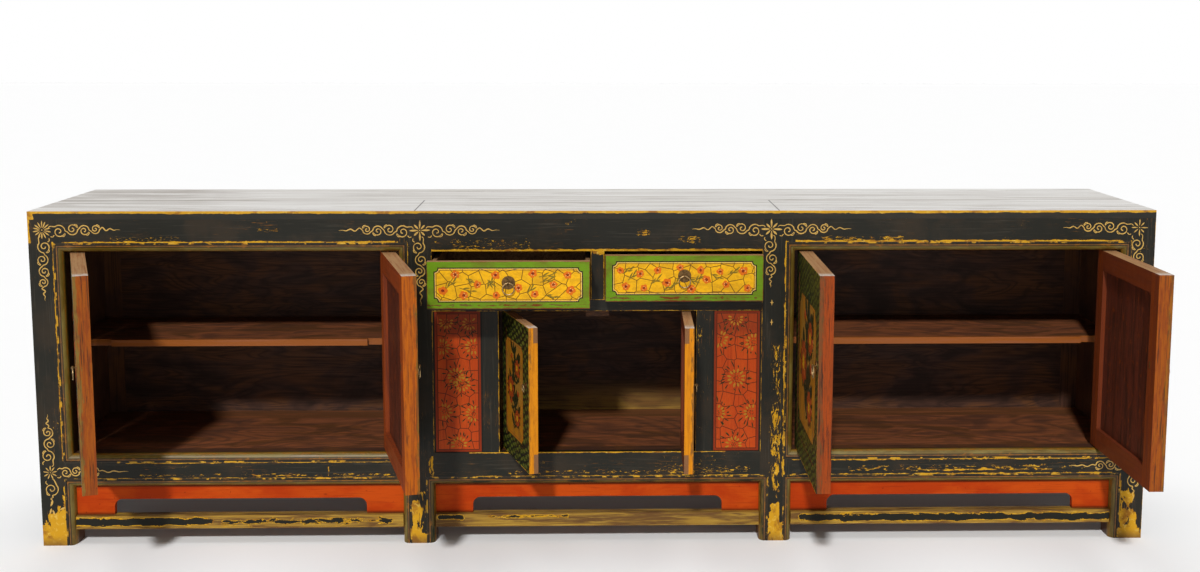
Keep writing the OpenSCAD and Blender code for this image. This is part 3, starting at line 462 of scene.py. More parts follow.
def opening_gap(add, place, openings):
    """How far a point of the front lies from the nearest of some openings, in millimetres, measured
    square to its sides, so that a band keeps mitred corners."""
    across, up = add("x", place), add("z", place)
    nearest_gap = None
    for x0, z0, x1, z1 in openings:
        beside = add("subtract", away(add, across, (x0 + x1) / 2), (x1 - x0) / 2)
        above = add("subtract", away(add, up, (z0 + z1) / 2), (z1 - z0) / 2)
        gap = add("maximum", beside, above)
        nearest_gap = gap if nearest_gap is None else add("minimum", nearest_gap, gap)
    return nearest_gap


def moulding_paint(name, openings, tones, seed):
    """Olive paint on planed mouldings. It gives a soft sheen on the round, dirt in the groove
    and rubbed yellow and black dashes along the fillet."""
    base, light = tones
    material, add = new_material(name)
    place = on_carcass(add)
    gap = opening_gap(add, place, openings)
    drift = streaks(add, place, (60, 8, 60), seed)
    fine = streaks(add, place, (14, 5, 14), seed + 6)
    colour = over(add, base, light, drift, 0.42, 0.64)
    lip = add("ease", away(add, gap, 1.2), 0.4, 1.8, 1.0, 0.0)
    lip = add("multiply", lip, add("ease", fine, 0.4, 0.6, 0.2, 0.9))
    colour = add("mix", lip, colour, "ground_orange")
    brown = over(add, "ochre_dark", "ground_orange", fine, 0.42, 0.6, 0.8)
    colour = over(add, colour, brown, gap, 10.4, 11.4)
    colour = line_over(add, colour, "olive_dark", gap, 10.2, 0.4, 1.7, 0.9)
    dashes = streaks(add, place, (26, 5, 26), seed + 9)
    fillet = over(add, "olive_dark", worn_ground(add, place, seed), dashes, 0.52, 0.6, 0.9)
    colour = over(add, colour, fillet, gap, 15.8, 16.4)
    colour = line_over(add, colour, "olive_dark", gap, 15.0, 0.9, 1.7)
    colour = over(add, colour, "ground_orange", fine, 0.6, 0.68, 0.5)
    return finish_material(material, colour, (drift, 0.34, 0.5), fine, 0.2, specular=0.3)


def apron_paint():
    """Orange-red paint on boards. It is matt, a little uneven and rubbed in the middle, with painted shade
    under the moulding and just above the stretcher."""
    material, add = new_material("orange_red_apron_paint")
    place = on_carcass(add)
    cloud = streaks(add, place, (150, 40, 60), 2.0)
    fibres = streaks(add, place, (90, 6, 3), 6.0)
    spots = streaks(add, place, (10, 6, 8), 9.0)
    colour = over(add, "apron", "apron_light", cloud, 0.4, 0.64, 0.8)
    colour = over(add, colour, "apron_dark", fibres, 0.52, 0.72, 0.4)
    colour = over(add, colour, "apron_dark", spots, 0.66, 0.72, 0.7)
    height = add("z", place)
    # Painted shade: a dark band under the moulding, and another just above the stretcher
    painted_shade_under_moulding = add("ease", height, SILL_BOTTOM - 9, SILL_BOTTOM, 0.0, 0.9)
    painted_shade_above_stretcher = add("ease", height, STRETCHER[1], STRETCHER[1] + 8, 0.7, 0.0)
    colour = add("mix", add("maximum", painted_shade_under_moulding, painted_shade_above_stretcher), colour, "olive_dark")
    return finish_material(material, colour, (cloud, 0.42, 0.58), fibres, 0.2, specular=0.06)


def stretcher_paint():
    """What is left of black lacquer on the ochre ground of the stretchers: long dark islands with
    yellow shores on the front, and bare ochre on top, where feet rest."""
    material, add = new_material("worn_stretcher_paint")
    place = on_carcass(add)
    middle = (STRETCHER[0] + STRETCHER[1]) / 2
    (a0, a1), (b0, _), (c0, c1) = BAYS
    rows = (
        (a0, middle + 1, a0 + 300, middle + 1, 9.5, 0.9, 0.7, 44),
        (a0 + 330, middle, a1 - 30, middle, 8.5, 0.45, 1.5, 38),
        (b0 + 8, middle + 6, b0 + 60, middle + 8, 7, 0.5, 0.9, 30),
        (b0 + 120, middle + 7, b0 + 300, middle + 9, 3, 0.1, 1.8, 26),
        (c0 + 25, middle, c1 - 5, middle + 1, 9.5, 0.8, 0.8, 40))
    islands = [worn_line(*row, y=STRETCHER_FRONT) for row in rows]
    depth = wear_depth(add, place, islands, 21.0)
    drift = streaks(add, place, (120, 12, 14), 2.0)
    fibres = streaks(add, place, (110, 4, 2.6), 5.0)
    ground = over(add, "ochre", "ochre_dark", drift, 0.42, 0.6)
    ground = over(add, ground, "ochre_dark", fibres, 0.5, 0.68, 0.7)
    ground = under(add, ground, "ground_pale", fibres, 0.34, 0.44, 0.5)
    colour = under(add, ground, worn_ground(add, place, 31.0), add("absolute", depth), 0.5, 1.9)
    colour = over(add, colour, "lacquer", depth, 0.2, 0.9)
    return finish_material(material, colour, (drift, 0.45, 0.62), fibres, 0.25)


def top_wood():
    """The top: old softwood boards, thinly waxed. Their pale tones are partly a painted reflection of the
    bright surroundings, laid over long grey-brown cracks and grain, browner at the far left, dark joints
    between the boards, and black lacquer with a rubbed yellow arris on the edges."""
    material, add = new_material("top_wood_painted_reflection")
    place = on_carcass(add)
    grain = streaks(add, place, (420, 3.0, 4), 1.0, 7.0, 0.68, 0.5)
    broad = streaks(add, place, (900, 42, 20), 7.0, 4.0, 0.55, 0.8)
    cracks = streaks(add, place, (260, 5.5, 6), 12.0, 3.0, 0.5, 0.7)
    # Painted reflection: the pale base stands partly for the bright surroundings mirrored in the wax
    colour = over(add, "top_pale_reflection", "top", broad, 0.4, 0.62)
    colour = over(add, colour, "top_dark", grain, 0.5, 0.68, 0.5)
    bands = streaks(add, place, (360, 17, 20), 19.0, 4.0, 0.6, 0.8)
    colour = over(add, colour, "top_dark", bands, 0.52, 0.7, 0.32)
    colour = under(add, colour, "top_pale_reflection", bands, 0.3, 0.44, 0.6)
    colour = over(add, colour, "top_dark", cracks, 0.62, 0.66, 0.8)
    # At its left end the joint gapes. It is drawn wider there than the real one, so that it shows
    joint = away(add, add("y", place), TOP_JOINT)
    joint = add("divide", joint, add("ease", add("x", place), 300.0, 560.0, 3.6, 1.0))
    seam = add("ease", joint, 0.8, 3.4, 0.9, 0.0)
    seam = add("multiply", seam, add("ease", broad, 0.35, 0.55, 0.4, 1.0))
    colour = add("mix", seam, colour, "top_dark")
    # The front boards meet over the middles of the inner posts
    for x in (sum(POSTS[1]) / 2, sum(POSTS[2]) / 2):
        off_joint = box_gap(add, place, (x - 0.4, 0, TOP), (x + 0.4, TOP_JOINT, TOP))
        colour = under(add, colour, "lacquer_brown", off_joint, 0.3, 1.8, 0.85)
    brown = add("ease", box_gap(add, place, (0, 215, TOP), (240, 450, TOP)), 0.0, 220.0, 0.6, 0.0)
    brown = add("multiply", brown, add("ease", bands, 0.42, 0.58, 0.0, 1.0))
    colour = add("mix", brown, colour, "top_dark")
    arris = [
        worn_line(0, TOP, LENGTH, TOP, 5.2, 1.0, 0.55, 60.0),
        worn_line(0, TOP - 20, 4, TOP, 9.0, 1.0, 0.5),
        Mark((0, 0, TOP), (0, 450, TOP), 4.0, 0.9, 0.7),
        Mark((LENGTH, 0, TOP), (LENGTH, 450, TOP), 4.0, 0.9, 0.7)]
    depth = wear_depth(add, place, arris, 41.0)
    face = add("z", add("object normal"))
    thin = streaks(add, place, (90, 60, 20), 3.0)
    black = over(add, "lacquer", "lacquer_brown", thin, 0.45, 0.7)
    edge = over(add, black, worn_ground(add, place, 45.0), depth, -0.4, 0.6)
    colour = under(add, colour, worn_ground(add, place, 47.0), add("y", place), 0.0, 3.5, 0.85)
    colour = over(add, edge, colour, face, 0.4, 0.8)
    rough = add("fade", grain, 0.35, 0.7, 0.3, 0.46)
    return finish_material(material, colour, rough, grain, 0.2, specular=0.3)


def aged_brass(name, bright):
    """Cast and filed brass. It gives a soft broken shine, dark where it is tarnished, and a brighter brass
    on the rings than on their plates, a painted highlight that sets them off."""
    material, add = new_material(name)
    place = on_carcass(add)
    tarnish = streaks(add, place, (5, 5, 5), 3.0, 5.0)
    specks = streaks(add, place, (1.2, 1.2, 1.2), 5.0, 3.0)
    colour = over(add, bright, "brass_dark", tarnish, 0.36, 0.7, 0.9)
    return finish_material(material, colour, (specks, 0.34, 0.6), specks, 0.1, specular=0.5, metallic=1.0)


def gilt_paint():
    """Gold powder bound in oil, drawn with a fine brush. It is pale and warm, thin in places."""
    material, add = new_material("gilt_brush_paint")
    place = on_carcass(add)
    thin = streaks(add, place, (9, 9, 9), 8.0, 4.0)
    colour = over(add, "gilt", "gilt_dark", thin, 0.5, 0.68, 0.85)
    return finish_material(material, colour, (thin, 0.38, 0.55), specular=0.6)


# Doors, drawers and panels
class Leaf:
    """A door: where it hangs at rest, its size, and the way between it and the frame.
    In the leaf's own millimetres X runs from the pivot to the free edge, Y from front to back, Z up."""

    def __init__(self, name):
        joint = next(j for j in frame["joints"] if j["name"] == name + "_hinge")
        self.name = name
        self.hand = -joint["axis"][2]
        self.angle = math.radians(-joint["range_deg"][0])
        self.pivot = Vector(joint["pos_m"])
        turn = Matrix.Rotation(self.angle, 4, "Z") @ Matrix.Diagonal((self.hand, 1, 1, 1))
        self.pivot.z = 0.0
        self.to_leaf = Matrix.Scale(MM, 4) @ turn @ Matrix.Translation(-self.pivot)
        frame_points = [self.to_leaf @ v.co for v in frame["nodes"][name + "_frame"].data.vertices]
        panel_points = [self.to_leaf @ v.co for v in frame["nodes"][name + "_panel"].data.vertices]
        self.free = max(p.x for p in frame_points)
        self.hinged = min(p.x for p in frame_points)
        self.thick = 2 * max(p.y for p in frame_points)
        beside_pins = [p.z for p in frame_points if p.x > self.free / 2]
        self.bottom, self.top = min(beside_pins), max(beside_pins)
        self.panel = [(min(p[i] for p in panel_points), max(p[i] for p in panel_points)) for i in (0, 2)]
        self.face = Matrix.Translation((0, -self.thick / 2, 0))

    def place(self, add):
        """A point's place in the leaf's own millimetres."""
        start = self.to_leaf @ Vector((0, 0, 0))
        scale = (self.hand * MM, MM, MM)
        return add("turn", add("object place"), tuple(start), (0, 0, self.angle), scale)

    def facing(self, add):
        """Which way a point's surface looks, in the leaf's own axes."""
        return add("turn", add("object normal"), (0, 0, 0), (0, 0, self.angle), (self.hand, 1, 1))

    def to_world(self):
        """The matrix that takes the door's own millimetres to the frame."""
        return self.to_leaf.inverted()


@functools.lru_cache(maxsize=None)
def leaf(name):
    """The places and sizes of one door, measured once."""
    return Leaf(name)


def fish_scales(add, across, up, width):
    """Rows of overlapping round scales: how far a point lies from the middle of its own scale."""
    row = width / 4
    radius = width / 2
    level = add("floor", add("divide", up, row))
    chosen = None
    for below in (0, 1, 2):
        own = add("subtract", level, float(below))
        odd = add("multiply", add("pingpong", own, 1.0), radius)
        shifted = add("subtract", across, odd)
        column = add("multiply", add("round", add("divide", shifted, width)), width)
        gap_x = add("subtract", shifted, column)
        gap_z = add("subtract", up, add("multiply", own, row))
        reach = slant(add, gap_x, gap_z)
        if chosen is None:
            chosen = reach
        else:
            covers = add("less_than", reach, radius)
            kept = add("multiply", add("subtract", 1.0, covers), chosen)
            chosen = add("multiply_add", covers, reach, kept)
    return chosen


def notched_panel(add, across, up, width, height, notch):
    """How far a point lies outside a rectangle with hollow round corners, in millimetres."""
    off_x = add("subtract", add("absolute", across), width / 2)
    off_z = add("subtract", add("absolute", up), height / 2)
    square = add("maximum", off_x, off_z)
    return add("maximum", square, add("subtract", notch, slant(add, off_x, off_z)))


# Doors thinner than this are the small ones
SMALL_DOOR = 25.0
# How high the lower and upper rails of the small doors are, whose end grain shows on the free edge
SMALL_RAILS = (42, 33)
# The medallion of a large and of a small door: its left and right sides counted from the pivot, its foot
# and its head, as shares of the door, and the radius of its hollow corners in millimetres
MEDALLIONS = ((0.16, 0.89, 0.18, 0.82, 24.0), (0.13, 0.78, 0.15, 0.84, 10.0))


def medallion(door):
    """The middle, the size and the corner of a door's medallion, in the leaf's millimetres."""
    left, right, foot, head, corner = MEDALLIONS[door.thick < SMALL_DOOR]
    wide, tall = door.free - door.hinged, door.top - door.bottom
    middle = (door.hinged + wide * (left + right) / 2, door.bottom + tall * (foot + head) / 2)
    return middle, (wide * (right - left), tall * (head - foot)), corner


def door_paint(door, edge_tones, stain_tone, wear):
    """A painted door. Outside, dark green with brushed yellow-green scales round an ochre medallion;
    inside, red-brown stain that leaves the grain; worn ochre on the edges, bare wood on the top edge."""
    material, add = new_material(door.name + "_paint")
    place = door.place(add)
    facing = door.facing(add)
    across, back, up = add("x", place), add("y", place), add("z", place)
    grain = streaks(add, place, (3.0, 3.0, 150), 2.0 + wear, 6.0, 0.65, 0.5)
    rail_grain = streaks(add, place, (150, 3.0, 4.0), 4.0 + wear, 6.0, 0.65, 0.5)
    cloud = streaks(add, place, (70, 30, 90), 6.0 + wear)
    fine = streaks(add, place, (9, 6, 12), 9.0 + wear)

    # Outside: scales and the medallion
    width = size_of("scale_width")
    unsteady = []
    for seed in (71.0, 77.0):
        sway = add("subtract", streaks(add, place, (60, 60, 60), seed + wear, 2.0), 0.5)
        unsteady.append(add("multiply", sway, width * 0.9))
    reach = fish_scales(add, add("add", across, unsteady[0]), add("add", up, unsteady[1]), width)
    ring = add("pingpong", reach, width / 4)
    line = add("ease", ring, width / 4 * 0.45, width / 4 * 0.8, 0.0, 1.0)
    green = over(add, "scale_green", "spray_dark", cloud, 0.4, 0.66, 0.6)
    brushed = add("ease", streaks(add, place, (6, 6, 6), 61.0 + wear), 0.36, 0.56, 0.35, 1.0)
    green = add("mix", add("multiply", line, brushed), green, "scale_line")
    green = line_over(add, green, "lacquer", reach, width / 2, 1.2, 3.6)
    (panel_x0, panel_x1), (panel_z0, panel_z1) = door.panel
    middle_x, middle_z = (panel_x0 + panel_x1) / 2, (panel_z0 + panel_z1) / 2
    centre, size, corner = medallion(door)
    from_centre = add("subtract", across, centre[0]), add("subtract", up, centre[1])
    beyond = notched_panel(add, *from_centre, *size, corner)
    ochre = over(add, "medallion", "gilt_dark", cloud, 0.42, 0.62, 0.7)
    ochre = over(add, ochre, "ochre_dark", grain, 0.5, 0.68, 0.7)
    shade = streaks(add, place, (34, 20, 60), 57.0 + wear, 4.0, 0.6, 0.8)
    ochre = over(add, ochre, "ochre_dark", shade, 0.5, 0.66, 0.6)
    outside = under(add, green, ochre, beyond, -0.5, 0.5)
    outside = under(add, outside, "spray_dark", add("absolute", add("add", beyond, 1.0)), 0.8, 1.8, 0.9)
    outside = under(add, outside, "spray_red", add("absolute", add("add", beyond, 7.0)), 0.5, 1.3, 0.7)
    rows = (
        (door.free, door.bottom, door.free, door.top, 3.5, 0.4, 1.0),
        (door.hinged, door.bottom, door.free, door.bottom, 3, 0.3, 1.0),
        (door.hinged, door.top, door.free, door.top, 3, 0.3, 1.0))
    door_edges = [worn_line(*row, y=-door.thick / 2) for row in rows]
    depth = wear_depth(add, place, door_edges, 5.0 + wear)
    outside = over(add, outside, worn_ground(add, place, wear), depth, -0.3, 0.6)

    # Inside: stiles and rails of the frame, and the panel between them
    stain = over(add, stain_tone, "door_inner_dark", grain, 0.46, 0.66, 0.9)
    coarse = streaks(add, place, (8, 8, 210), 53.0 + wear, 4.0, 0.6, 0.8)
    stain = over(add, stain, "door_inner_dark", coarse, 0.46, 0.66, 0.75)
    rails = over(add, stain_tone, "door_inner_dark", rail_grain, 0.46, 0.66, 0.8)
    rails = add("mix", 0.45, rails, "door_inner_dark")
    board = streaks(add, place, (14.0, 14.0, 260), 31.0 + wear, 5.0, 0.6, 1.6)
    panel_stain = over(add, "door_inner_dark", "inside_dark", board, 0.42, 0.62, 0.7)
    panel_stain = over(add, panel_stain, "inside_dark", grain, 0.56, 0.7, 0.5)
    rubbed = streaks(add, place, (12, 9, 20), 37.0 + wear)
    panel_stain = over(add, panel_stain, "door_inner", rubbed, 0.56, 0.7, 0.75)
    beside = add("subtract", away(add, across, middle_x), (panel_x1 - panel_x0) / 2 - 6)
    between = add("ease", beside, -0.3, 0.3, 1.0, 0.0)
    over_rail = add("subtract", away(add, up, middle_z), (panel_z1 - panel_z0) / 2 - 6)
    panel_zone = add("multiply", between, add("ease", over_rail, -0.3, 0.3, 1.0, 0.0))
    inside = add("mix", between, stain, rails)
    inside = add("mix", panel_zone, inside, panel_stain)

    # Edges: a strip beside the outer face, dirt in the grain, and bare wood on top
    edge_tone, strip_tone, edge_share, grime = edge_tones
    shore = streaks(add, place, (5, 5, 34), 14.0 + wear, 4.0)
    reach_in = -door.thick * 0.5 + door.thick * edge_share
    unsteady_back = add("add", back, add("multiply", add("subtract", shore, 0.5), 30.0))
    strip = add("ease", unsteady_back, reach_in - 1.5, reach_in + 1.5, 1.0, 0.0)
    lines = streaks(add, place, (3.6, 3.6, 110), 43.0 + wear, 4.0, 0.7, 0.3)
    patches = streaks(add, place, (8, 8, 46), 47.0 + wear, 4.0, 0.65, 0.6)
    strip_tone = over(add, strip_tone, "ochre_dark", patches, 0.42, 0.6)
    edge = over(add, edge_tone, "door_inner", grain, 0.46, 0.64, grime)
    edge = over(add, edge, "door_inner", patches, 0.46, 0.62, grime)
    edge = over(add, edge, "door_inner_dark", fine, 0.62, 0.7, grime * 0.7)
    edge = add("mix", add("multiply", strip, add("ease", fine, 0.3, 0.6, 0.95, 0.6)), edge, strip_tone)
    edge = over(add, edge, "inside_dark", lines, 0.53, 0.63, grime)
    if door.thick < SMALL_DOOR:
        below, above = door.bottom + SMALL_RAILS[0], door.top - SMALL_RAILS[1]
        lap = add("maximum", add("less_than", up, below), add("greater_than", up, above))
        lap = add("multiply", lap, add("greater_than", back, 0.5))
        edge = add("mix", add("multiply", lap, 0.8), edge, "end_grain")
    free = add("greater_than", across, door.free - 1.0)
    edge = add("mix", free, add("mix", 0.5, stain, "door_inner_dark"), edge)
    bare = over(add, "bare", "door_inner", rail_grain, 0.45, 0.66, 0.65)
    knocked = add("multiply", add("ease", across, door.free - 40, door.free - 6, 0.0, 0.7), brushed)
    bare = add("mix", knocked, bare, "top")

    front = add("ease", add("y", facing), -0.6, -0.4, 1.0, 0.0)
    upper = add("ease", add("z", facing), 0.4, 0.6, 0.0, 1.0)
    top_edge = add("multiply", upper, add("greater_than", up, door.top - 2))
    colour = over(add, edge, inside, add("y", facing), 0.4, 0.6)
    colour = add("mix", front, colour, outside)
    colour = add("mix", top_edge, colour, bare)
    height = add("multiply_add", grain, 0.6, add("multiply", add("multiply", line, front), 0.3))
    return finish_material(material, colour, (cloud, 0.36, 0.56), height, 0.25)


# The yellow field on a drawer front: its margins at the sides, above and below, and how far its
# corners are notched
DRAWER_MARGIN = (17.0, 14.5, 16.5)
DRAWER_NOTCH = 8.5
# The lines round it: how far outside its edge, half their width, and their colours
DRAWER_LINES = ((-3.4, 0.4, "ochre_dark"), (-0.6, 0.3, "cream"), (1.0, 1.0, "drawer_line"))


def drawer_paint(drawer, seed):
    """A drawer front: a bright green border, worn at its edges, round a yellow field with black, cream
    and orange lines, crossed by the fine dark lines of cracked ice."""
    low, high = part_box(drawer + "_front")
    wide, tall = (high.x - low.x) * MM, (high.z - low.z) * MM
    side, above, below = DRAWER_MARGIN
    middle = ((low.x + high.x) / 2, low.y, low.z + (tall + below - above) / 2 / MM)
    material, add = new_material(drawer + "_paint")
    place = add("stretch", add("object place"), (MM, MM, MM), tuple(-v * MM for v in middle))
    across, back, up = add("x", place), add("y", place), add("z", place)
    outside = notched_panel(add, across, up, wide - 2 * side, tall - above - below, DRAWER_NOTCH)
    fibres = streaks(add, place, (90, 3, 3.2), seed)
    cloud = streaks(add, place, (60, 20, 30), seed + 3)
    fine = streaks(add, place, (12, 6, 5), seed + 5)
    green = over(add, "drawer_green", "olive", cloud, 0.42, 0.64, 0.5)
    green = over(add, green, "scale_green", fibres, 0.55, 0.75, 0.4)
    chipped = [
        worn_line(-wide / 2, -tall / 2 + 6, wide / 2, -tall / 2 + 8, 3.2, 0.05, 1.5),
        worn_line(-wide / 2, tall / 2 + 1, wide / 2, tall / 2 + 1, 2.4, 0.9, 0.8),
        worn_line(-wide / 2, -tall / 2, -wide / 2, tall / 2, 2.2, 0.7, 0.8),
        worn_line(wide / 2, -tall / 2, wide / 2, tall / 2, 2.2, 0.7, 0.8),
        worn_line(-wide / 2, -tall / 2 - 1, wide / 2, -tall / 2 - 1, 2.6, 0.9, 0.8)]
    depth = wear_depth(add, place, chipped, seed + 8)
    chips = over(add, "ochre_dark", "apron_dark", cloud, 0.4, 0.6)
    green = over(add, green, chips, depth, -0.2, 0.5, 0.9)
    yellow = over(add, "drawer_yellow", "ground_orange", cloud, 0.5, 0.7, 0.35)
    mottle = streaks(add, place, (18, 8, 11), seed + 12, 4.0, 0.65, 0.8)
    yellow = over(add, yellow, "ground", mottle, 0.42, 0.62, 0.6)
    cell = size_of("ice_cell")
    flat = add("join", add("divide", across, cell), add("divide", up, cell), 0.0)
    flat = add("stretch", flat, (1, 1, 1), (seed * 1.3, seed * 0.7, 0))
    ice = add("cracks", flat, 1.0, 0.95, voronoi_dimensions="2D")
    yellow = under(add, yellow, "drawer_line", ice, 0.014, 0.042, 0.9)
    colour = under(add, green, yellow, outside, -0.3, 0.3)
    for at, half, tone in DRAWER_LINES:
        colour = line_over(add, colour, tone, outside, at, half, half + 0.5)
    bare_wood_and_light_pool = over(add, "bare", "door_inner", fibres, 0.45, 0.66, 0.7)
    front = add("ease", back, 0.3, 0.9, 1.0, 0.0)
    colour = add("mix", front, bare_wood_and_light_pool, colour)
    height = add("subtract", add("multiply", fibres, 0.3), add("multiply", fine, 0.2))
    return finish_material(material, colour, (cloud, 0.32, 0.48), height, 0.25)


# Black margin at the sides of the fixed panels
PANEL_MARGIN = 4.0


def fixed_panel_paint():
    """The panels beside the small doors: orange-red paint with a fine dark lattice of six-sided cells
    inside a dark border line, and a painted shadow of the drawers darkening the top of the panels."""
    material, add = new_material("lattice_panel_paint")
    place = on_carcass(add)
    across, up = add("x", place), add("z", place)
    left, right = BAYS[1][0], MIDDLE_OPENING[0] - STILE
    far_left, far_right = MIDDLE_OPENING[1] + STILE, BAYS[1][1]
    off = add("minimum",
              away(add, across, (left + right) / 2),
              away(add, across, (far_left + far_right) / 2))
    half = (right - left) / 2
    inset_x = add("subtract", half - PANEL_MARGIN, off)
    inset_z = add("minimum", add("subtract", up, SILL + 1), add("subtract", DRAWER_RAIL[0] - 1, up))
    inset = add("minimum", inset_x, inset_z)
    cloud = streaks(add, place, (40, 20, 70), 4.0)
    fibres = streaks(add, place, (3, 3, 110), 7.0)
    field = over(add, "panel", "apron_light", cloud, 0.42, 0.66, 0.7)
    field = over(add, field, "apron_dark", fibres, 0.5, 0.72, 0.4)
    cell = size_of("lattice_cell")
    flat = add("join", add("divide", across, cell), add("divide", up, cell), 0.0)
    lattice = add("cracks", flat, 1.0, 0.5, voronoi_dimensions="2D")
    lines = add("ease", lattice, 0.016, 0.045, 0.85, 0.0)
    lines = add("multiply", lines, add("ease", inset, 6.0, 6.5, 0.0, 1.0))
    colour = add("mix", lines, field, "drawer_line")
    hair = streaks(add, place, (1.6, 2, 40), 17.0, 3.0, 0.6, 0.8)
    colour = over(add, colour, "apron_dark", hair, 0.6, 0.68, 0.5)
    # Painted shadow: the drawers above shade the top of the panels, darkest in the top 40 millimetres
    painted_drawer_shadow = add("ease", up, DRAWER_RAIL[0] - 74, DRAWER_RAIL[0] - 40, 0.0, 0.4)
    colour = add("mix", painted_drawer_shadow, colour, "inside_dark")
    colour = under(add, colour, "apron_dark", inset, 5.2, 5.8, 0.75)
    colour = line_over(add, colour, "drawer_line", inset, 5.6, 0.5, 1.1, 0.9)
    colour = under(add, colour, "lacquer", inset, -0.4, 0.3)
    return finish_material(material, colour, (cloud, 0.4, 0.55), fibres, 0.2)


def ornament_paint(name, heart, tip, turn_at, speckle):
    """Brushed oil paint on raised ornament. It gives a matt colour that turns from heart to tips, uneven as
    a hand leaves it, with speckles so many millimetres across."""
    material, add = new_material(name)
    place = add("object place")
    uneven = add("noise", place, MM / speckle, 3.0, 0.6, 0.3)
    value = add("multiply_add", uneven, 0.3, add("painted value", attribute_name="tone"))
    colour = over(add, heart, tip, value, turn_at + 0.05, turn_at + 0.3)
    return finish_material(material, colour, (uneven, 0.4, 0.6))


def dress(material, *nodes):
    """Gives nodes of the frame their material."""
    for node in nodes:
        slots = frame["nodes"][node].data.materials
        slots.clear()
        slots.append(material)


# Raised brush strokes
# Crossing strokes lie at heights this far apart, in millimetres, so their faces never coincide
STROKE_STEP = 0.02
# How many such heights there are, and how far the strokes are sunk into what they are painted on
STROKE_HEIGHTS = 11
STROKE_ROOT = 0.05


def polar(centre, reach, angle):
    """The place at a distance and an angle from a centre."""
    return centre[0] + reach * math.cos(angle), centre[1] + reach * math.sin(angle)


def on_face(place):
    """The matrix that takes millimetres across and up a face, from a place on it, to the frame."""
    return Matrix.Translation(place) @ Matrix.Scale(1 / MM, 4)


class Strokes:
    """Brush strokes on a flat face, gathered into one thin raised mesh. Places are in millimetres
    across and up the face, whose own matrix takes them to the frame with Y into the face."""

    def __init__(self, to_world):
        self.to_world = to_world
        self.mesh = bmesh.new()
        self.tone = self.mesh.verts.layers.float.new("tone")
        self.height = size_of("paint_height")
        self.count = 0

    def rungs(self, pairs, tones):
        """A strip between pairs of points, each with a tone from 0 to 1."""
        proud = self.height + STROKE_STEP * (self.count % STROKE_HEIGHTS)
        self.count += 1
        rows = []
        for (left, right), tone in zip(pairs, tones):
            row = []
            for (x, z), y in ((left, -proud), (right, -proud), (right, STROKE_ROOT), (left, STROKE_ROOT)):
                vertex = self.mesh.verts.new(self.to_world @ Vector((x, y, z)))
                vertex[self.tone] = tone
                row.append(vertex)
            rows.append(row)
        for one, two in zip(rows, rows[1:]):
            for i in range(4):
                j = (i + 1) % 4
                self.mesh.faces.new((one[i], one[j], two[j], two[i]))
        self.mesh.faces.new(rows[0])
        self.mesh.faces.new(rows[-1][::-1])

    def line(self, points, widths, tones=None):
        """A line through points, with a width and a tone at each."""
        pairs = []
        for i, point in enumerate(points):
            before, after = points[max(i - 1, 0)], points[min(i + 1, len(points) - 1)]
            way = Vector((after[0] - before[0], after[1] - before[1]))
            way.normalize()
            side = Vector((-way.y, way.x)) * widths[i] / 2
            pairs.append(((point[0] + side.x, point[1] + side.y), (point[0] - side.x, point[1] - side.y)))
        self.rungs(pairs, tones or [0.5] * len(pairs))

    def brush(self, points, width, hand, start, end):
        """A brush line that swells and thins a little. start and end are how full it is at its ends."""
        phase = hand.uniform(0, 6)
        widths = []
        for i in range(len(points)):
            share = i / (len(points) - 1)
            ends = min(1.0, start + share * 6, end + (1 - share) * 6)
            swell = 1 + 0.16 * math.sin(phase + share * 17) + hand.uniform(-0.05, 0.05)
            widths.append(width * ends * swell)
        self.line(points, widths)

    def petal(self, centre, angle, start, end, width, belly=0.55, tones=(0.0, 1.0), steps=7, bend=0.0):
        """A leaf-shaped dab from one distance of a centre to another. The belly is where it is widest."""
        points, widths, values = [], [], []
        for i in range(steps + 1):
            share = i / steps
            points.append(polar(centre, start + (end - start) * share, angle + bend * share))
            bulge = share / belly if share < belly else (1 - share) / (1 - belly)
            widths.append(max(width * math.sin(math.pi / 2 * bulge) ** 0.8, 0.25))
            values.append(tones[0] + (tones[1] - tones[0]) * share)
        self.line(points, widths, values)

    def dot(self, centre, radius, tone):
        """A round dab."""
        left = (centre[0] - radius, centre[1])
        self.petal(left, 0.0, 0.0, 2 * radius, 2 * radius, 0.5, (tone, tone), 6)

    def piece(self, name, body, material, slot):
        """Makes the strokes an object that rides on a body of the frame."""
        bmesh.ops.recalc_face_normals(self.mesh, faces=self.mesh.faces)
        data = bpy.data.meshes.new(name)
        self.mesh.to_mesh(data)
        self.mesh.free()
        data.materials.append(material)
        made = bpy.data.objects.new(name, data)
        bpy.context.scene.collection.objects.link(made)
        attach(made, body)


def smooth_path(points, steps):
    """A smooth curve through points."""
    ends = [points[0], *points, points[-1]]
    path = []
    for a, b, c, d in zip(ends, ends[1:], ends[2:], ends[3:]):
        for step in range(steps):
            t = step / steps
            path.append(tuple(
                0.5 * (2 * b[i] + (c[i] - a[i]) * t + (2 * a[i] - 5 * b[i] + 4 * c[i] - d[i]) * t * t
                       + (3 * b[i] - a[i] - 3 * c[i] + d[i]) * t ** 3) for i in (0, 1)))
    path.append(points[-1])
    return path


# The curls of a running scroll: place along the run, place beside it and radius, in millimetres
CURLS = ((37.0, -3.5, 11.5), (66.0, 2.0, 10.0), (92.0, -1.5, 9.0), (116.0, 2.0, 7.5))
SCROLL_TAIL = (170.0, 4.2)


def around(centre, radius, start, end, steps):
    """Points on a round stretch between two angles in degrees. The radius may change on the way."""
    first, last = radius if isinstance(radius, tuple) else (radius, radius)
    points = []
    for i in range(steps + 1):
        share = i / steps
        angle = math.radians(start + (end - start) * share)
        points.append(polar(centre, first + (last - first) * share ** 0.85, angle))
    return points


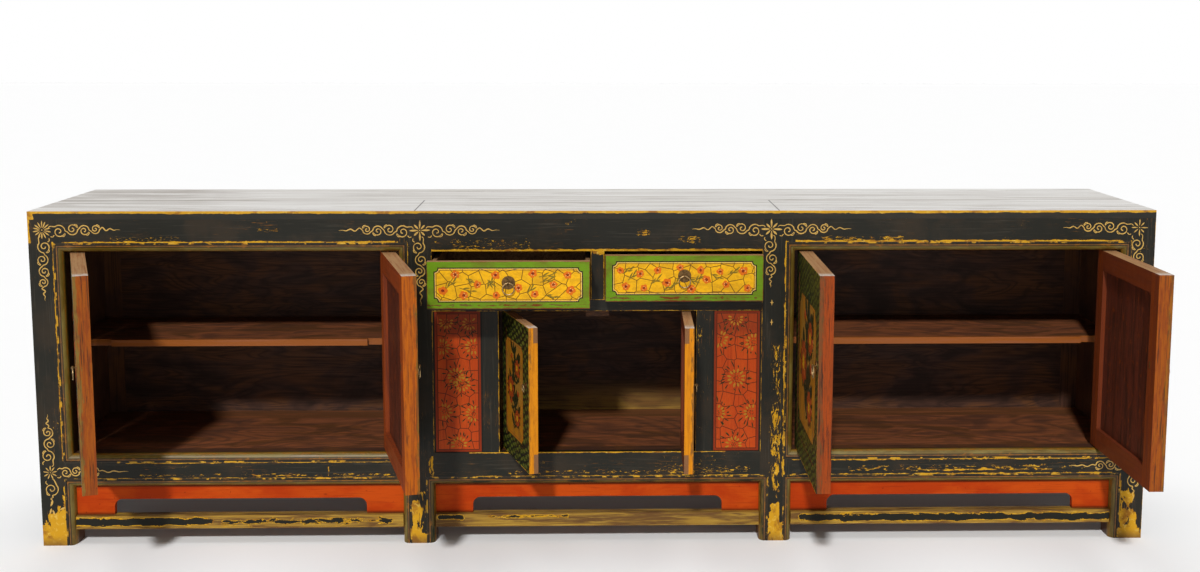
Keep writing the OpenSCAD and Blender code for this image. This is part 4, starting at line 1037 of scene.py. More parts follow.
def running_scroll(strokes, origin, hand, along, beside, tail=SCROLL_TAIL, curls=CURLS):
    """A running scroll that leaves a flower: a stem that waves over and under spiral curls and ends in
    a wavy tail. along and beside are the directions of the run and of its first rise."""
    width = size_of("scroll_line")

    def laid(points):
        return [(origin[0] + along[0] * p[0] + beside[0] * p[1],
                 origin[1] + along[1] * p[0] + beside[1] * p[1]) for p in points]

    stem = [(14.0, 4.0), (18.0, 8.0)]
    for number, (run, off, radius) in enumerate(curls):
        up = 1 if number % 2 == 0 else -1
        first = 128 if number == 0 else 150
        stem += around((run, off), radius + 2.4, up * first, up * 8, 5)
        curl = around((run, off), (radius + 1.6, radius * 0.24), -up * 14, -up * 430, 26)
        strokes.brush(laid(curl), width * 0.92, hand, 0.5, 1.0)
        strokes.dot(laid(curl[-1:])[0], width * 0.62, 0.5)
        join = (run + radius + 2.0, off - up * radius * 0.35)
        bends = ((0.0, 0.0), (1.0, 4.5), (5.0, 7.0), (8.5, 4.5))
        hook = smooth_path([(join[0] - x, join[1] - up * z) for x, z in bends], 3)
        strokes.brush(laid(hook), width * 0.8, hand, 0.9, 0.4)
    last_run, last_off, last_radius = curls[-1]
    start = last_run + last_radius + 4.0
    waves = 12
    for i in range(1, waves + 1):
        share = i / waves
        stem.append((start + (tail[0] - start) * share,
                     last_off * (1 - share) + tail[1] * (1 - share) * math.sin(share * math.pi * 5)))
    strokes.brush(laid(smooth_path(stem, 4)), width, hand, 0.6, 0.2)
    bends = ((10.5, 8.0), (14.0, 12.0), (19.0, 11.0))
    lead = smooth_path([(curls[0][0] - x, curls[0][1] - z) for x, z in bends], 4)
    strokes.brush(laid(lead), width * 0.8, hand, 0.9, 0.3)


def daisy(strokes, centre, hand, petals, long, short, width, start=3.2):
    """A flower of thin dabs round a dot, with long ones in line with the frame and short ones between."""
    for i in range(petals):
        angle = math.pi / 2 + 2 * math.pi * i / petals + hand.uniform(-0.04, 0.04)
        axial = petals != 8 or i % 2 == 0
        reach = (long if axial else short) * hand.uniform(0.94, 1.05)
        strokes.petal(centre, angle, start, reach, width * hand.uniform(0.9, 1.1), 0.6)
    strokes.dot(centre, 1.5, 0.2)


# Operators
class Dresser(bpy.types.Operator):
    """Base of the operators that dress the sideboard"""
    bl_options = {"REGISTER", "UNDO"}

    @classmethod
    def poll(cls, context):
        return context.scene is not None


class SIDEBOARD_OT_frame(Dresser):
    """Lacquers the posts, rails and stiles, and rubs them through along their edges"""
    bl_idname = "sideboard.frame"
    bl_label = "Lacquer the frame"

    def execute(self, context):
        seed = context.scene.sideboard_sizes.seed
        upright, lengthwise = 2, 0
        left, inner_left, inner_right, right = POSTS
        (a0, a1), (b0, b1), (c0, c1) = BAYS
        foot_left, foot_right = worn_ends(0, 0, 40, 14, 7.0, 0.0, 3.0, 40.0, upright)
        # For each node its worn patches: from x and z to x and z, reach, cover, swing, run and way
        marks = {
            "front_post_left": [
                (left[1] - BEAD, SILL - 14, left[1] - BEAD, BEAD_TOP, 3.2, 0.5, 1.1),
                (0, BEAD_TOP + 2, 1, TOP_UNDER, 4.5, 0.7, 0.8),
                (0, 0, 52, 42, 14.0, 0.9, 1.4, 50, upright),
                (22, 42, 50, 66, 9.0, 0.6, 1.8, 60, upright),
                (38, 66, 52, 90, 7.0, 0.4, 2.2, 70, upright),
                (49, 84, 52, 116, 4.0, 0.2, 2.4, 50, upright),
                (left[1] - BEAD, 88, left[1] - BEAD, SILL_BOTTOM, 3.0, 0.7, 0.9),
                foot_left],
            "front_post_inner_left": [
                (inner_left[0] + BEAD, SILL - 14, inner_left[0] + BEAD, BEAD_TOP, 2.2, 0.4, 1.2),
                (inner_left[1], SILL, inner_left[1], RAIL_BOTTOM, 1.8, 0.3, 1.2),
                (inner_left[0] + 22, 0, inner_left[1] - 22, 12, 10.0, 0.8, 1.2, 50, upright),
                (inner_left[0] + 24, 10, inner_left[0] + 32, 96, 6.0, 0.5, 2.2, 70, upright),
                (inner_left[1] - 34, 10, inner_left[1] - 26, 118, 6.0, 0.5, 2.2, 70, upright),
                (inner_left[1] - 12, SILL_BOTTOM + 20, inner_left[1] - 4, SILL - 10, 4.0, -0.2, 1.8)],
            "front_post_inner_right": [
                (inner_right[1] - BEAD, SILL - 60, inner_right[1] - BEAD, BEAD_TOP, 4.2, 0.45, 1.1, 30),
                (inner_right[1] - 44, 230, inner_right[1] - 32, 450, 5.0, -0.8, 3.8, 13, upright),
                (inner_right[1] - 42, 120, inner_right[1] - 32, 300, 6.0, 0.0, 3.4, 26, upright),
                (inner_right[0] + 24, 0, inner_right[1] - 22, 40, 9.0, 0.7, 1.4, 60, upright),
                (inner_right[0] + 28, 40, inner_right[1] - 30, 84, 6.0, 0.2, 2.6, 70, upright),
                (inner_right[0] + 36, 84, inner_right[1] - 32, 128, 5.0, -0.1, 3.0, 60, upright),
                (inner_right[0], SILL, inner_right[0], RAIL_BOTTOM, 1.6, 0.3, 1.2)],
            "front_post_right": [
                (right[0] + BEAD, SILL - 14, right[0] + BEAD, BEAD_TOP, 2.6, 0.4, 1.2),
                (right[1], 0, right[1], TOP_UNDER, 1.2, 0.2, 1.5),
                (right[0] + 24, 0, right[1] - 8, 16, 9.0, 0.7, 1.4, 60, upright),
                (right[0] + 24, 12, right[1] - 14, 60, 8.0, 0.6, 2.4, 60, upright),
                (right[0] + 28, 56, right[1] - 24, 104, 7.0, 0.2, 2.8, 50, upright),
                (right[0] + BEAD, 60, right[0] + BEAD, SILL_BOTTOM, 2.8, 0.5, 1.0),
                foot_right],
            "top_rails": [
                (a0, BEAD_TOP + 1, a1, BEAD_TOP + 1, 3.2, 0.55, 1.1),
                (b0, RAIL_BOTTOM, b1, RAIL_BOTTOM, 5.0, 0.8, 0.7),
                (c0, BEAD_TOP + 1, c1, BEAD_TOP + 1, 3.6, 0.6, 1.0),
                (180, 696, 330, 702, 3.0, -1.3, 4.0, 7, lengthwise),
                (500, 716, 545, 720, 3.0, -0.8, 3.2, 8, lengthwise),
                (c0 + 60, 694, c0 + 240, 700, 4.0, -0.3, 2.6, 12, lengthwise),
                (930, 676, 1100, 694, 4.0, -1.2, 3.8, 10, lengthwise),
                (1340, 706, 1364, 716, 5.0, -0.1, 1.8, 14, lengthwise),
                (1430, 690, 1476, 702, 5.0, -0.3, 2.2, 14, lengthwise)],
            "sill_rails": [
                (a0 + 120, SILL - BEAD, a1, SILL - BEAD, 2.0, 0.5, 1.2),
                (a0, BEAD_BOTTOM, a1, BEAD_BOTTOM, 2.0, 0.3, 1.3),
                (a0 + 150, BEAD_BOTTOM + 5, a0 + 330, BEAD_BOTTOM + 9, 1.6, -0.9, 3.8, 14, lengthwise),
                (a0 + 400, BEAD_BOTTOM + 5, a1 - 20, BEAD_BOTTOM + 8, 1.6, -0.6, 3.6, 16, lengthwise),
                (a0 + 570, BEAD_BOTTOM + 4, a0 + 571, BEAD_BOTTOM + 24, 1.8, 0.1, 1.6, 20),
                (b0 + 90, BEAD_BOTTOM, b1, BEAD_BOTTOM, 2.2, 0.4, 1.3),
                (b0 + 160, BEAD_BOTTOM + 6, b1 - 60, BEAD_BOTTOM + 12, 1.6, -1.0, 3.8, 13, lengthwise),
                (b1 - 240, BEAD_BOTTOM + 8, b1 - 20, BEAD_BOTTOM + 22, 2.0, -1.3, 3.8, 9, lengthwise),
                (b0 + 80, SILL, b1 - 80, SILL, 2.4, 0.7, 0.9),
                (c0, SILL - BEAD, c1, SILL - BEAD, 3.2, 0.6, 1.2),
                (c0, BEAD_BOTTOM, c1, BEAD_BOTTOM, 3.0, 0.5, 1.1),
                (c0 + 130, BEAD_BOTTOM + 8, c1 - 150, BEAD_BOTTOM + 20, 2.2, -0.9, 3.6, 18, lengthwise),
                (c0 + 240, BEAD_BOTTOM + 9, c0 + 600, BEAD_BOTTOM + 10, 1.5, 0.1, 2.6, 50)],
            "drawer_rail": [
                (b0, DRAWER_RAIL[0], b1, DRAWER_RAIL[0], 2.0, 0.3, 1.4),
                (b0, DRAWER_RAIL[1], b1, DRAWER_RAIL[1], 1.6, 0.3, 1.2)],
            "drawer_divider": [
                (DIVIDER[0], DRAWER_RAIL[1], DIVIDER[0], RAIL_BOTTOM, 2.2, 0.5, 1.1),
                (DIVIDER[1], DRAWER_RAIL[1], DIVIDER[1], RAIL_BOTTOM, 2.2, 0.5, 1.1),
                (DIVIDER[0], RAIL_BOTTOM - 4, DIVIDER[1], RAIL_BOTTOM, 5.0, 0.1, 1.8, 14)],
            "middle_stiles": [
                (MIDDLE_OPENING[0], SILL, MIDDLE_OPENING[0], DRAWER_RAIL[0], 2.6, 0.3, 1.3),
                (MIDDLE_OPENING[1], SILL, MIDDLE_OPENING[1], DRAWER_RAIL[0], 1.6, 0.3, 1.2),
                (MIDDLE_OPENING[1] + 6, 430, MIDDLE_OPENING[1] + 12, 500, 4.0, -0.6, 2.6, 14, upright)],
            "side_panels": [
                Mark((0, 60, BEAD_TOP), (LENGTH, 400, BEAD_TOP), 5.0, -0.3, 1.6)],
            "side_and_cross_rails": [
                *worn_ends(60, RAIL_BOTTOM, 400, RAIL_BOTTOM, 3.0, 0.2, 1.4),
                *worn_ends(60, SILL_BOTTOM, 400, SILL_BOTTOM, 3.0, 0.2, 1.4)],
            "back_posts": [
                *worn_ends(DEPTH, 0, DEPTH, TOP_UNDER, 3.0, 0.3, 1.4),
                *worn_ends(404, 0, DEPTH, 10, 6.0, 0.0, 3.0, 40.0, upright)],
        }
        for number, (node, rows) in enumerate(marks.items()):
            own = [row if isinstance(row, Mark) else worn_line(*row) for row in rows]
            axis = 1 if "cross" in node else lengthwise if "rail" in node else upright
            dress(black_lacquer(node + "_lacquer", own, axis, seed + 3.7 * number), node)
        return {"FINISHED"}


class SIDEBOARD_OT_mouldings(Dresser):
    """Paints the mouldings round the openings"""
    bl_idname = "sideboard.mouldings"
    bl_label = "Paint the mouldings"

    def execute(self, context):
        tones = ("olive", "olive_light")
        green_tones = ("olive", "scale_green")
        pairs = (tones, green_tones, tones)
        for bay, (side, pair) in enumerate(zip(("left", "middle", "right"), pairs)):
            x0, x1 = BAYS[bay]
            openings = [(x0, -100, x1, SILL_BOTTOM)]
            if side != "middle":
                openings.append((x0, SILL, x1, RAIL_BOTTOM))
            node = side + "_bay_mouldings"
            dress(moulding_paint(node + "_olive_paint", openings, pair, 3.0 + 5 * bay), node)
        return {"FINISHED"}


class SIDEBOARD_OT_base(Dresser):
    """Paints the aprons and the stretchers"""
    bl_idname = "sideboard.base"
    bl_label = "Paint the aprons and stretchers"

    def execute(self, context):
        dress(apron_paint(), "aprons")
        dress(stretcher_paint(), "stretchers")
        return {"FINISHED"}


class SIDEBOARD_OT_top(Dresser):
    """Waxes the boards of the top and gives them pale tones that are partly a painted reflection"""
    bl_idname = "sideboard.top"
    bl_label = "Finish the top"

    def execute(self, context):
        dress(top_wood(), "top_boards")
        return {"FINISHED"}


class SIDEBOARD_OT_inside(Dresser):
    """Gives the floors, shelves, partitions, back and drawer boxes their old wood"""
    bl_idname = "sideboard.inside"
    bl_label = "Finish the wood inside and behind"

    def execute(self, context):
        dim = ("inside_dark", "inside", "inside_light")
        warm = ("inside", "floor_board", "inside_light")
        raw = ("raw_dark", "raw", "bare")
        bleached = ("raw_dark", "bare", "raw")
        back = span("back_posts", 1)[0]
        strip = ((-100, back - 70, 0), (LENGTH + 100, back, TOP), "inside_light")
        shelf_front = span("left_shelf", 1)[0]
        lipping = ((-100, shelf_front - 5, 0), (LENGTH + 100, shelf_front + 9.9, TOP), "lipping")
        # The foot of the middle bay's back boards gets a painted pool of light in a gilt tone
        painted_light_pool = (span("floor_boards", 2)[1], "gilt_dark")
        boxes = [drawer + "_box" for drawer in DRAWERS]
        # For each wood its name, the axis and tones of its grain, the grain's length and width, its seed,
        # its nodes and what else it has
        rows = (
            ("old_floor_wood", 0, warm, (240, 12), 2.0, ("floor_boards",),
             {"lighter": strip, "roughness": 0.5, "figure": 0.6}),
            ("old_shelf_wood", 0, warm, (200, 10), 5.0, ("left_shelf", "right_shelf"),
             {"lighter": lipping, "roughness": 0.5}),
            ("old_back_wood", 0, dim, (150, 3.5), 9.0, ("back_boards",),
             {"figure": 0.55, "rear": "raw", "painted_light_pool": painted_light_pool}),
            ("old_upright_wood", 2, dim, (170, 3), 12.0, ("partitions",), {}),
            ("old_cross_wood", 1, dim, (170, 3), 15.0, ("shelf_bearers", "drawer_runners"), {}),
            ("raw_back_wood", 0, raw, (200, 4), 18.0, ("back_rails",), {}),
            ("stop_block_wood", 0, dim, (60, 2), 20.0, ("door_stop",), {}),
            ("drawer_box_wood", 1, bleached, (150, 3), 24.0, boxes, {}))
        for name, axis, tones, reach, seed, nodes, extra in rows:
            dress(wood(name, axis, tones, reach, seed, **extra), *nodes)
        return {"FINISHED"}


class SIDEBOARD_OT_doors(Dresser):
    """Paints the doors with scales and a medallion outside and a red-brown stain inside"""
    bl_idname = "sideboard.doors"
    bl_label = "Paint the doors"

    def execute(self, context):
        ochre, red, brown = "door_edge_ochre", "door_edge_red", "door_edge_brown"
        edges = ((brown, "olive_light", 0.24, 0.7), ("door_edge", "olive", 0.12, 0.6),
                 (ochre, "ochre_dark", 0.1, 0.24), (ochre, "ochre_dark", 0.12, 0.24),
                 (red, "inside_light", 0.3, 0.9), (brown, "ground_orange", 0.2, 0.7))
        stains = ["door_inner"] * 6
        stains[1] = "door_inner_light"
        for number, (name, tones, stain) in enumerate(zip(DOORS, edges, stains)):
            material = door_paint(leaf(name), tones, stain, 3.0 * number)
            dress(material, name + "_frame", name + "_panel")
        return {"FINISHED"}


class SIDEBOARD_OT_drawers(Dresser):
    """Paints the drawer fronts"""
    bl_idname = "sideboard.drawers"
    bl_label = "Paint the drawer fronts"

    def execute(self, context):
        for number, drawer in enumerate(DRAWERS):
            dress(drawer_paint(drawer, 4.0 + 9 * number), drawer + "_front")
        return {"FINISHED"}


class SIDEBOARD_OT_panels(Dresser):
    """Paints the lattice of the fixed panels and their flowers"""
    bl_idname = "sideboard.panels"
    bl_label = "Paint the fixed panels"

    # Where the border of a panel is clear: from left to right and from low to high
    BORDER = (12.0, 98.0, 8.0, 312.0)
    # Flowers of the left and right panel: across from the panel's left edge, up from the sill, radius
    FLOWERS = (
        ((20, 243, 19), (90, 243, 19), (50, 175, 20), (64, 158, 19), (23, 95, 19), (89, 89, 19),
         (56, 18, 19), (30, 300, 17), (82, 296, 17)),
        ((16, 259, 20), (93, 251, 20), (54, 169, 22), (12, 89, 20), (90, 89, 20), (50, 15, 20),
         (52, 306, 18)))

    def execute(self, context):
        dress(fixed_panel_paint(), "fixed_panels")
        petal_paint = ornament_paint("ochre_petal_paint", "apron_dark", "petal", 0.2, 4.0)
        leaf_paint = ornament_paint("panel_leaf_paint", "spray_dark", "twig", 0.75, 5.0)
        hand = random.Random(context.scene.sideboard_sizes.seed)
        lefts = (BAYS[1][0], MIDDLE_OPENING[1] + STILE)
        for side, left, flowers in zip(("left", "right"), lefts, self.FLOWERS):
            to_world = on_face(CORNER + Vector((left, FIXED_IN, SILL)) / MM)
            petals, leaves = Strokes(to_world), Strokes(to_world)
            for x, z, reach in flowers:
                self.flower(petals, leaves, x, z, reach, hand)
            petals.piece(side + "_panel_flowers", "carcass", petal_paint, "ochre_paint")
            leaves.piece(side + "_panel_leaves", "carcass", leaf_paint, "olive_paint")
        return {"FINISHED"}

    def flower(self, petals, leaves, x, z, reach, hand):
        """A ring of short petals round a dark heart, with groups of three narrow leaves above and below,
        all kept inside the border."""
        count = 12
        for i in range(count):
            angle = 2 * math.pi * (i + 0.5) / count + hand.uniform(-0.07, 0.07)
            if self.fits(x, z, angle, reach):
                tip = reach * hand.uniform(0.93, 1.06)
                petals.petal((x, z), angle, reach * 0.5, tip, reach * 0.22, 0.55, (0.25, 1.0))
        for i in range(count // 2):
            angle = 4 * math.pi * i / count
            if self.fits(x, z, angle, reach * 0.4):
                petals.petal((x, z), angle, reach * 0.12, reach * 0.4, reach * 0.13, 0.55, (0.0, 0.35))
        for turn in (90, 210, 330, 30, 270, 150):
            middle = math.radians(turn + hand.uniform(-14, 14))
            for lean in (-0.42, 0.0, 0.42):
                angle = middle + lean
                end = reach * hand.uniform(1.5, 2.0) * (1 if lean == 0 else 0.86)
                if self.fits(x, z, angle, end):
                    leaves.petal((x, z), angle, reach * 1.08, end, 2.5, 0.5, (0.1, 0.9), 6, 0.1)

    def fits(self, x, z, angle, reach):
        """Whether a dab that ends here stays inside the border of the panel."""
        tip_x, tip_z = polar((x, z), reach, angle)
        left, right, low, high = self.BORDER
        return left < tip_x < right and low < tip_z < high


class SIDEBOARD_OT_gilding(Dresser):
    """Gilds the flowers and running scrolls at the corners of the frame"""
    bl_idname = "sideboard.gilding"
    bl_label = "Gild the scrolls"

    RIGHT, LEFT, DOWN, UP = (1, 0), (-1, 0), (0, -1), (0, 1)
    # Each group's name, the middle of its flower, the flower's petals, their long and short reach, width
    # and start, and the scrolls that leave it: how far from the middle, which way they run and first
    # rise, their tail and their curls
    GROUPS = (
        ("left_corner_scrolls", (31, 719), (14, 20, 20, 2.7, 4.5),
         (((0, 0), RIGHT, UP), ((0, 0), DOWN, LEFT, (158, 4)))),
        ("second_post_scrolls", (857, 717), (8, 23, 17, 4.0),
         (((0, 0), LEFT, UP, (178, 4)), ((0, 0), RIGHT, UP, (176, 4)), ((0, 0), DOWN, RIGHT))),
        ("third_post_scrolls", (1637, 719), (8, 23, 18, 4.2),
         (((0, 0), LEFT, UP, (177, 4)), ((0, 0), RIGHT, UP, (178, 4)),
          ((0, 0), DOWN, RIGHT, (132, 4), CURLS[:3]))),
        ("right_corner_scrolls", (2463, 721), (8, 19, 16, 2.6, 4.0),
         (((0, 0), LEFT, UP, (172, 4)), ((0, 0), DOWN, RIGHT, (160, 4)))),
        ("left_foot_scrolls", (23, 170), (9, 16, 16, 2.6, 3.4),
         (((0, 0), UP, RIGHT, (134, 4), CURLS[:3]),
          ((2, 2), RIGHT, UP, (172, 3), ((32, -2, 9), (54, 1, 8), (96, 0, 8))),
          ((0, 0), DOWN, RIGHT, (76, 3), ((38, 1, 12.5),)))),
        ("right_foot_scrolls", (2478, 172), (9, 15, 15, 2.5, 3.4),
         (((0, 0), UP, LEFT, (134, 4), CURLS[:3]),
          ((-2, 1), LEFT, UP, (150, 3), ((32, -2, 9), (54, 1, 8), (78, -1, 8))),
          ((0, 0), DOWN, LEFT, (84, 3), ((36, 1, 11.5),)))))
    # Loose dabs of some groups: place, angle, start, end, width and belly
    DABS = {
        "third_post_scrolls": (
            ((1640, 553), math.pi / 2, -7, 7, 2.4, 0.5), ((1640, 553), 0.0, -4, 4, 1.8, 0.5),
            ((1640, 508), math.pi / 2, -7, 7, 2.4, 0.5), ((1640, 508), 0.0, -4, 4, 1.8, 0.5)),
        "left_foot_scrolls": (
            ((20, 92), 1.1, 0, 14, 4.0, 0.5), ((24, 84), -1.2, 0, 14, 4.0, 0.5),
            ((18, 74), 1.3, 0, 14, 4.0, 0.5), ((40, 84), 0.4, 0, 14, 4.0, 0.5))}

    def execute(self, context):
        hand = random.Random(context.scene.sideboard_sizes.seed + 1)
        gilt = gilt_paint()
        for name, middle, flower, scrolls in self.GROUPS:
            strokes = Strokes(on_face(CORNER))
            daisy(strokes, middle, hand, *flower)
            for shift, *scroll in scrolls:
                running_scroll(strokes, (middle[0] + shift[0], middle[1] + shift[1]), hand, *scroll)
            for dab in self.DABS.get(name, ()):
                strokes.petal(*dab)
            strokes.piece(name, "carcass", gilt, "ochre_paint")
        return {"FINISHED"}


class SIDEBOARD_OT_blossoms(Dresser):
    """Paints blossoms, twigs and leaves on the drawer fronts"""
    bl_idname = "sideboard.blossoms"
    bl_label = "Paint the blossoms"

    # Blossoms of the left and right drawer: across and up from the front's lower left corner
    PLACES = (
        ((61, 75), (147, 74), (227, 77), (301, 74), (108, 53), (271, 53), (34, 40), (79, 30), (148, 30),
         (196, 46), (231, 32), (308, 40)),
        ((33, 70), (77, 62), (115, 70), (210, 70), (253, 67), (304, 68), (45, 34), (85, 30), (136, 42),
         (165, 76), (223, 49), (266, 38), (314, 30), (190, 28)))
    # Twigs: where each starts and ends
    TWIGS = (
        ((40, 44, 62, 64), (70, 46, 104, 38), (128, 44, 142, 66), (130, 64, 142, 52), (214, 34, 226, 48),
         (240, 70, 276, 78), (242, 58, 268, 66), (252, 30, 276, 24), (84, 66, 96, 58)),
        ((38, 62, 60, 74), (50, 48, 64, 62), (100, 40, 118, 54), (146, 30, 160, 48), (128, 26, 150, 34),
         (196, 44, 214, 62), (232, 62, 252, 52), (270, 60, 292, 72), (180, 52, 196, 44)))

    def execute(self, context):
        hand = random.Random(context.scene.sideboard_sizes.seed + 2)
        petal_paint = ornament_paint("plum_blossom_paint", "blossom_heart", "blossom", 0.22, 3.0)
        tip_paint = ornament_paint("blossom_tip_paint", "ground_pale", "cream", 0.4, 2.0)
        twig_paint = ornament_paint("twig_paint", "olive", "twig", 0.3, 4.0)
        for drawer, places, twigs in zip(DRAWERS, self.PLACES, self.TWIGS):
            to_world = on_face(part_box(drawer + "_front")[0])
            petals, tips, stems = Strokes(to_world), Strokes(to_world), Strokes(to_world)
            for ends in twigs:
                self.twig(stems, ends[:2], ends[2:], hand)
            for place in places:
                self.blossom(petals, tips, place, hand)
            stems.piece(drawer + "_twigs", drawer, twig_paint, "drawer_front_paint")
            petals.piece(drawer + "_blossoms", drawer, petal_paint, "drawer_front_paint")
            tips.piece(drawer + "_blossom_tips", drawer, tip_paint, "drawer_front_paint")
        return {"FINISHED"}

    def blossom(self, petals, tips, place, hand):
        """Five uneven round petals with a dark heart and pale stamens."""
        reach = size_of("blossom_reach") * hand.uniform(0.85, 1.1)
        turn = hand.uniform(0, 6.3)
        for i in range(5):
            angle = turn + 2 * math.pi * i / 5 + hand.uniform(-0.12, 0.12)
            tip = reach * hand.uniform(0.85, 1.1)
            petals.petal(place, angle, 0.4, tip, reach * 0.86, 0.62)
        for i in range(5):
            if hand.random() < 0.55:
                angle = turn + 0.6 + 2 * math.pi * i / 5
                tips.height = size_of("paint_height") * 1.5
                tips.dot(polar(place, 0.42 * reach, angle), reach * 0.1, 0.9)

    def twig(self, stems, start, end, hand):
        """A thin bent twig with two or three narrow leaves."""
        middle = tuple((a + b) / 2 + hand.uniform(-2, 2) for a, b in zip(start, end))
        path = smooth_path([start, middle, end], 4)
        stems.brush(path, 1.6, hand, 0.8, 0.3)
        way = math.atan2(end[1] - start[1], end[0] - start[0])
        for share, lean in ((0.3, 0.55), (0.55, -0.5), (0.85, 0.35)):
            at = path[int(share * (len(path) - 1))]
            stems.petal(at, way + lean, 0, hand.uniform(11, 17), 3.2, 0.45, (0.2, 0.7), bend=-lean * 0.4)


class SIDEBOARD_OT_sprays(Dresser):
    """Paints a spray of flowers and leaves in the medallion of each door"""
    bl_idname = "sideboard.sprays"
    bl_label = "Paint the doors' sprays"

    def execute(self, context):
        hand = random.Random(context.scene.sideboard_sizes.seed + 3)
        leaf_paint = ornament_paint("door_leaf_paint", "spray_dark", "scale_green", 0.6, 5.0)
        flower_paint = ornament_paint("door_flower_paint", "ground", "spray_red", 0.3, 5.0)
        for name in DOORS:
            door = leaf(name)
            to_world = door.to_world() @ door.face
            leaves, flowers = Strokes(to_world), Strokes(to_world)
            self.spray(leaves, flowers, door, hand)
            leaves.piece(name + "_leaves", name, leaf_paint, "door_panel_paint")
            flowers.piece(name + "_flowers", name, flower_paint, "door_panel_paint")
        return {"FINISHED"}

    def spray(self, leaves, flowers, door, hand):
        """A stem that winds up the medallion, with three round flowers, paired leaves and budding shoots.
        Its sizes are shares of half the medallion's width."""
        (middle, centre), (wide, tall), _ = medallion(door)
        half_x, half_z = wide * 0.46, tall * 0.46
        sway = half_x * 0.4
        count = 32
        stem = []
        for i in range(count + 1):
            share = i / count
            swayed = middle + sway * math.sin(share * 3.1 * math.pi)
            stem.append((swayed, centre + half_z * (1.7 * share - 0.85)))
        leaves.brush(stem, half_x * 0.06, hand, 1.0, 0.4)
        for share, radius in ((0.16, 0.3), (0.5, 0.4), (0.84, 0.3)):
            self.peony(flowers, leaves, stem[int(share * count)], half_x * radius, hand)
        for i in range(1, count, 2):
            for side in (1, -1):
                angle = math.pi / 2 + side * hand.uniform(0.6, 1.3)
                reach = half_x * hand.uniform(0.38, 0.62)
                start, width = half_x * 0.04, half_x * 0.17
                leaves.petal(stem[i], angle, start, reach, width, 0.5, (0.1, 0.8), bend=side * -0.4)
        for i in (7, 12, 20, 26):
            side = 1 if stem[i][0] < middle else -1
            x, z = stem[i]
            tip = (x + side * half_x * 0.66, z + half_x * 0.22)
            shoot = smooth_path([stem[i], (x + side * half_x * 0.36, z - half_x * 0.04), tip], 5)
            leaves.brush(shoot, half_x * 0.035, hand, 1.0, 0.6)
            for turn in (-0.5, 0.1, 0.7):
                angle = math.pi / 2 - side * (0.5 + turn)
                flowers.petal(tip, angle, 0, half_x * 0.16, half_x * 0.09, 0.6, (0.4, 1.0))
            for share in (0.4, 0.75):
                at = shoot[int(share * (len(shoot) - 1))]
                for lean in (1.3, -0.9):
                    angle = math.pi / 2 - side * lean
                    leaves.petal(at, angle, 0, half_x * 0.22, half_x * 0.1, 0.5, (0.1, 0.8))

    def peony(self, flowers, leaves, at, radius, hand):
        """Two rings of broad petals round a heart, with a dark calyx."""
        for i in range(9):
            angle = 2 * math.pi * i / 9
            leaves.petal(at, angle + 0.3, radius * 0.7, radius * 1.22, radius * 0.3, 0.5, (0.2, 0.5), 6)
        flowers.height = size_of("paint_height") * 1.5
        for i in range(9):
            angle = 2 * math.pi * i / 9 + hand.uniform(-0.05, 0.05)
            flowers.petal(at, angle, radius * 0.42, radius, radius * 0.5, 0.6, (0.3, 1.0))
        flowers.height = size_of("paint_height") * 2
        for i in range(6):
            angle = 2 * math.pi * i / 6
            flowers.petal(at, angle, radius * 0.05, radius * 0.52, radius * 0.34, 0.6, (0.0, 0.6))


class SIDEBOARD_OT_pulls(Dresser):
    """Gives the ring pulls their aged brass"""
    bl_idname = "sideboard.pulls"
    bl_label = "Finish the ring pulls"

    def execute(self, context):
        plates = aged_brass("aged_brass", "brass")
        # The rings get the brighter brass: a painted highlight
        rings = aged_brass("ring_brass_painted_highlight", "brass_ring_highlight")
        owners = (*DOORS, *DRAWERS)
        dress(plates, *(owner + "_pull_plate" for owner in owners))
        dress(rings, *(owner + "_ring" for owner in owners))
        return {"FINISHED"}


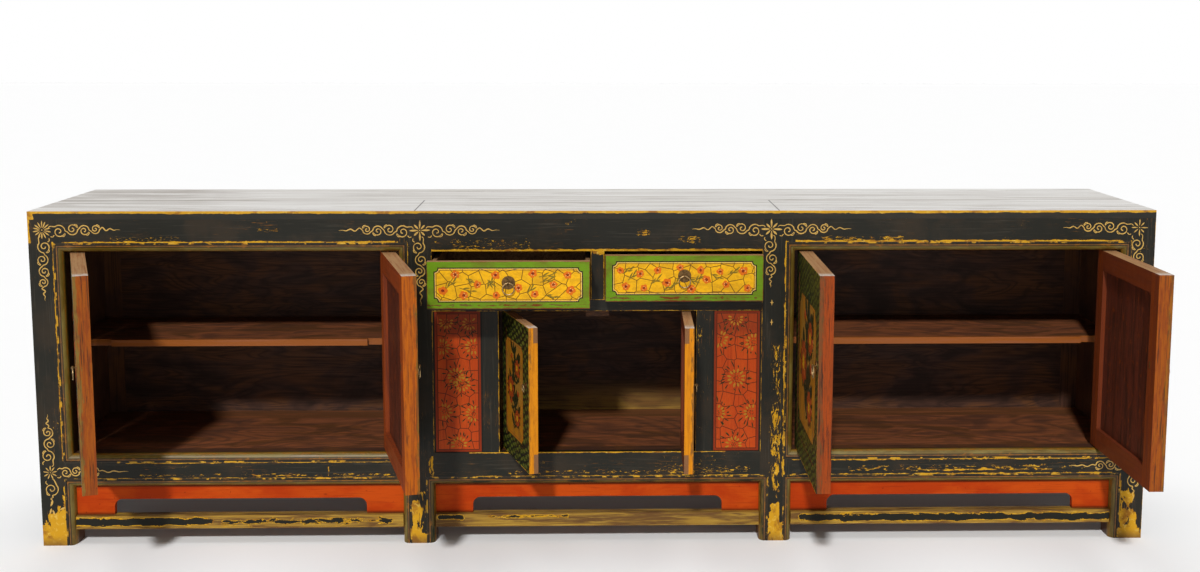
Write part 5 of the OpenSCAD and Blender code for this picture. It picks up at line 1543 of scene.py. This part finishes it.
class SIDEBOARD_OT_stage(Dresser):
    """Makes the pale floor, the soft lights and the camera"""
    bl_idname = "sideboard.stage"
    bl_label = "Set the stage"

    # Each light's name, its direction, how wide it is in degrees, and its strength
    LIGHTS = (
        ("key_light", (0.17, 1.0, -0.74), 4.0, 2.65),
        ("overhead_light", (0.0, -0.05, -1.0), 50.0, 1.3))

    def execute(self, context):
        scene = context.scene
        self.floor(scene)
        self.lights(scene)
        self.camera(scene)
        scene.view_settings.view_transform = "Standard"
        return {"FINISHED"}

    def floor(self, scene):
        """A wide pale floor that meets the pale surroundings far away."""
        reach = scene.sideboard_sizes.floor_reach
        ground = bmesh.new()
        bmesh.ops.create_grid(ground, x_segments=6, y_segments=6, size=reach)
        data = bpy.data.meshes.new("floor")
        ground.to_mesh(data)
        ground.free()
        floor = bpy.data.objects.new("floor", data)
        scene.collection.objects.link(floor)
        material, add = new_material("pale_floor_paper")
        mottle = add("noise", add("object place"), 3.0, 3.0, 0.5, 0.0)
        tone = over(add, "floor", (0.85, 0.85, 0.85), mottle, 0.4, 0.6, 0.06)
        finish_material(material, tone, 0.8, specular=0.0)
        data.materials.append(material)

    def lights(self, scene):
        """A key light from the front and above, a wide soft light overhead, and a white sweep round the
        floor under a dim ceiling."""
        for name, direction, angle, strength in self.LIGHTS:
            data = bpy.data.lights.new(name, "SUN")
            data.angle = math.radians(angle)
            data.energy = strength
            lamp = bpy.data.objects.new(name, data)
            lamp.location = -2.5 * Vector(direction)
            lamp.rotation_euler = Vector(direction).to_track_quat("-Z", "Y").to_euler()
            scene.collection.objects.link(lamp)
        world = bpy.data.worlds.new("white_sweep")
        world.use_nodes = True
        world.node_tree.nodes.clear()
        add = functools.partial(add_node, world.node_tree)
        rise = add("z", add("direction"))
        glow = add("ease", rise, 0.1, 0.34, 1.0, 0.16)
        add("world output", add("surroundings", (1.0, 1.0, 1.0), glow))
        scene.world = world

    def camera(self, scene):
        """The camera at the photograph's viewing angle."""
        data = bpy.data.cameras.new("camera")
        data.sensor_fit = "HORIZONTAL"
        data.sensor_width = 36.0
        data.lens = CAMERA_LENS
        data.shift_x, data.shift_y = CAMERA_SHIFT
        camera = bpy.data.objects.new("camera", data)
        yaw, pitch, roll = (math.radians(v) for v in (CAMERA_YAW, CAMERA_PITCH, CAMERA_ROLL))
        forward = Vector(
            (math.sin(yaw) * math.cos(pitch), math.cos(yaw) * math.cos(pitch), math.sin(pitch)))
        level = Vector((math.cos(yaw), -math.sin(yaw), 0))
        upward = level.cross(forward)
        right = level * math.cos(roll) + upward * math.sin(roll)
        above = upward * math.cos(roll) - level * math.sin(roll)
        axes = Matrix((right, above, -forward)).transposed()
        camera.matrix_world = Matrix.Translation(CORNER + Vector(CAMERA_PLACE) / MM) @ axes.to_4x4()
        scene.collection.objects.link(camera)
        scene.camera = camera


class SIDEBOARD_PT_panel(bpy.types.Panel):
    """Lists the steps that dress the sideboard"""
    bl_idname = "SIDEBOARD_PT_panel"
    bl_label = "Painted sideboard"
    bl_space_type = "VIEW_3D"
    bl_region_type = "UI"
    bl_category = "Sideboard"

    def draw(self, context):
        for operator in STEPS:
            self.layout.operator(operator.bl_idname)
        for group in (context.scene.sideboard_sizes, context.scene.sideboard_paints):
            column = self.layout.column()
            for name in group.__annotations__:
                column.prop(group, name)


STEPS = (
    SIDEBOARD_OT_frame, SIDEBOARD_OT_mouldings, SIDEBOARD_OT_base, SIDEBOARD_OT_top, SIDEBOARD_OT_inside,
    SIDEBOARD_OT_doors, SIDEBOARD_OT_drawers, SIDEBOARD_OT_panels, SIDEBOARD_OT_gilding,
    SIDEBOARD_OT_blossoms, SIDEBOARD_OT_sprays, SIDEBOARD_OT_pulls, SIDEBOARD_OT_stage)
CLASSES = (SideboardPaints, SideboardSizes, *STEPS, SIDEBOARD_PT_panel)


def register():
    for made in CLASSES:
        bpy.utils.register_class(made)
    bpy.types.Scene.sideboard_paints = PointerProperty(type=SideboardPaints)
    bpy.types.Scene.sideboard_sizes = PointerProperty(type=SideboardSizes)


def unregister():
    del bpy.types.Scene.sideboard_sizes
    del bpy.types.Scene.sideboard_paints
    for made in reversed(CLASSES):
        bpy.utils.unregister_class(made)


def main():
    register()
    for step in STEPS:
        group, name = step.bl_idname.split(".")
        getattr(getattr(bpy.ops, group), name)()


if __name__ == "__main__":
    main()
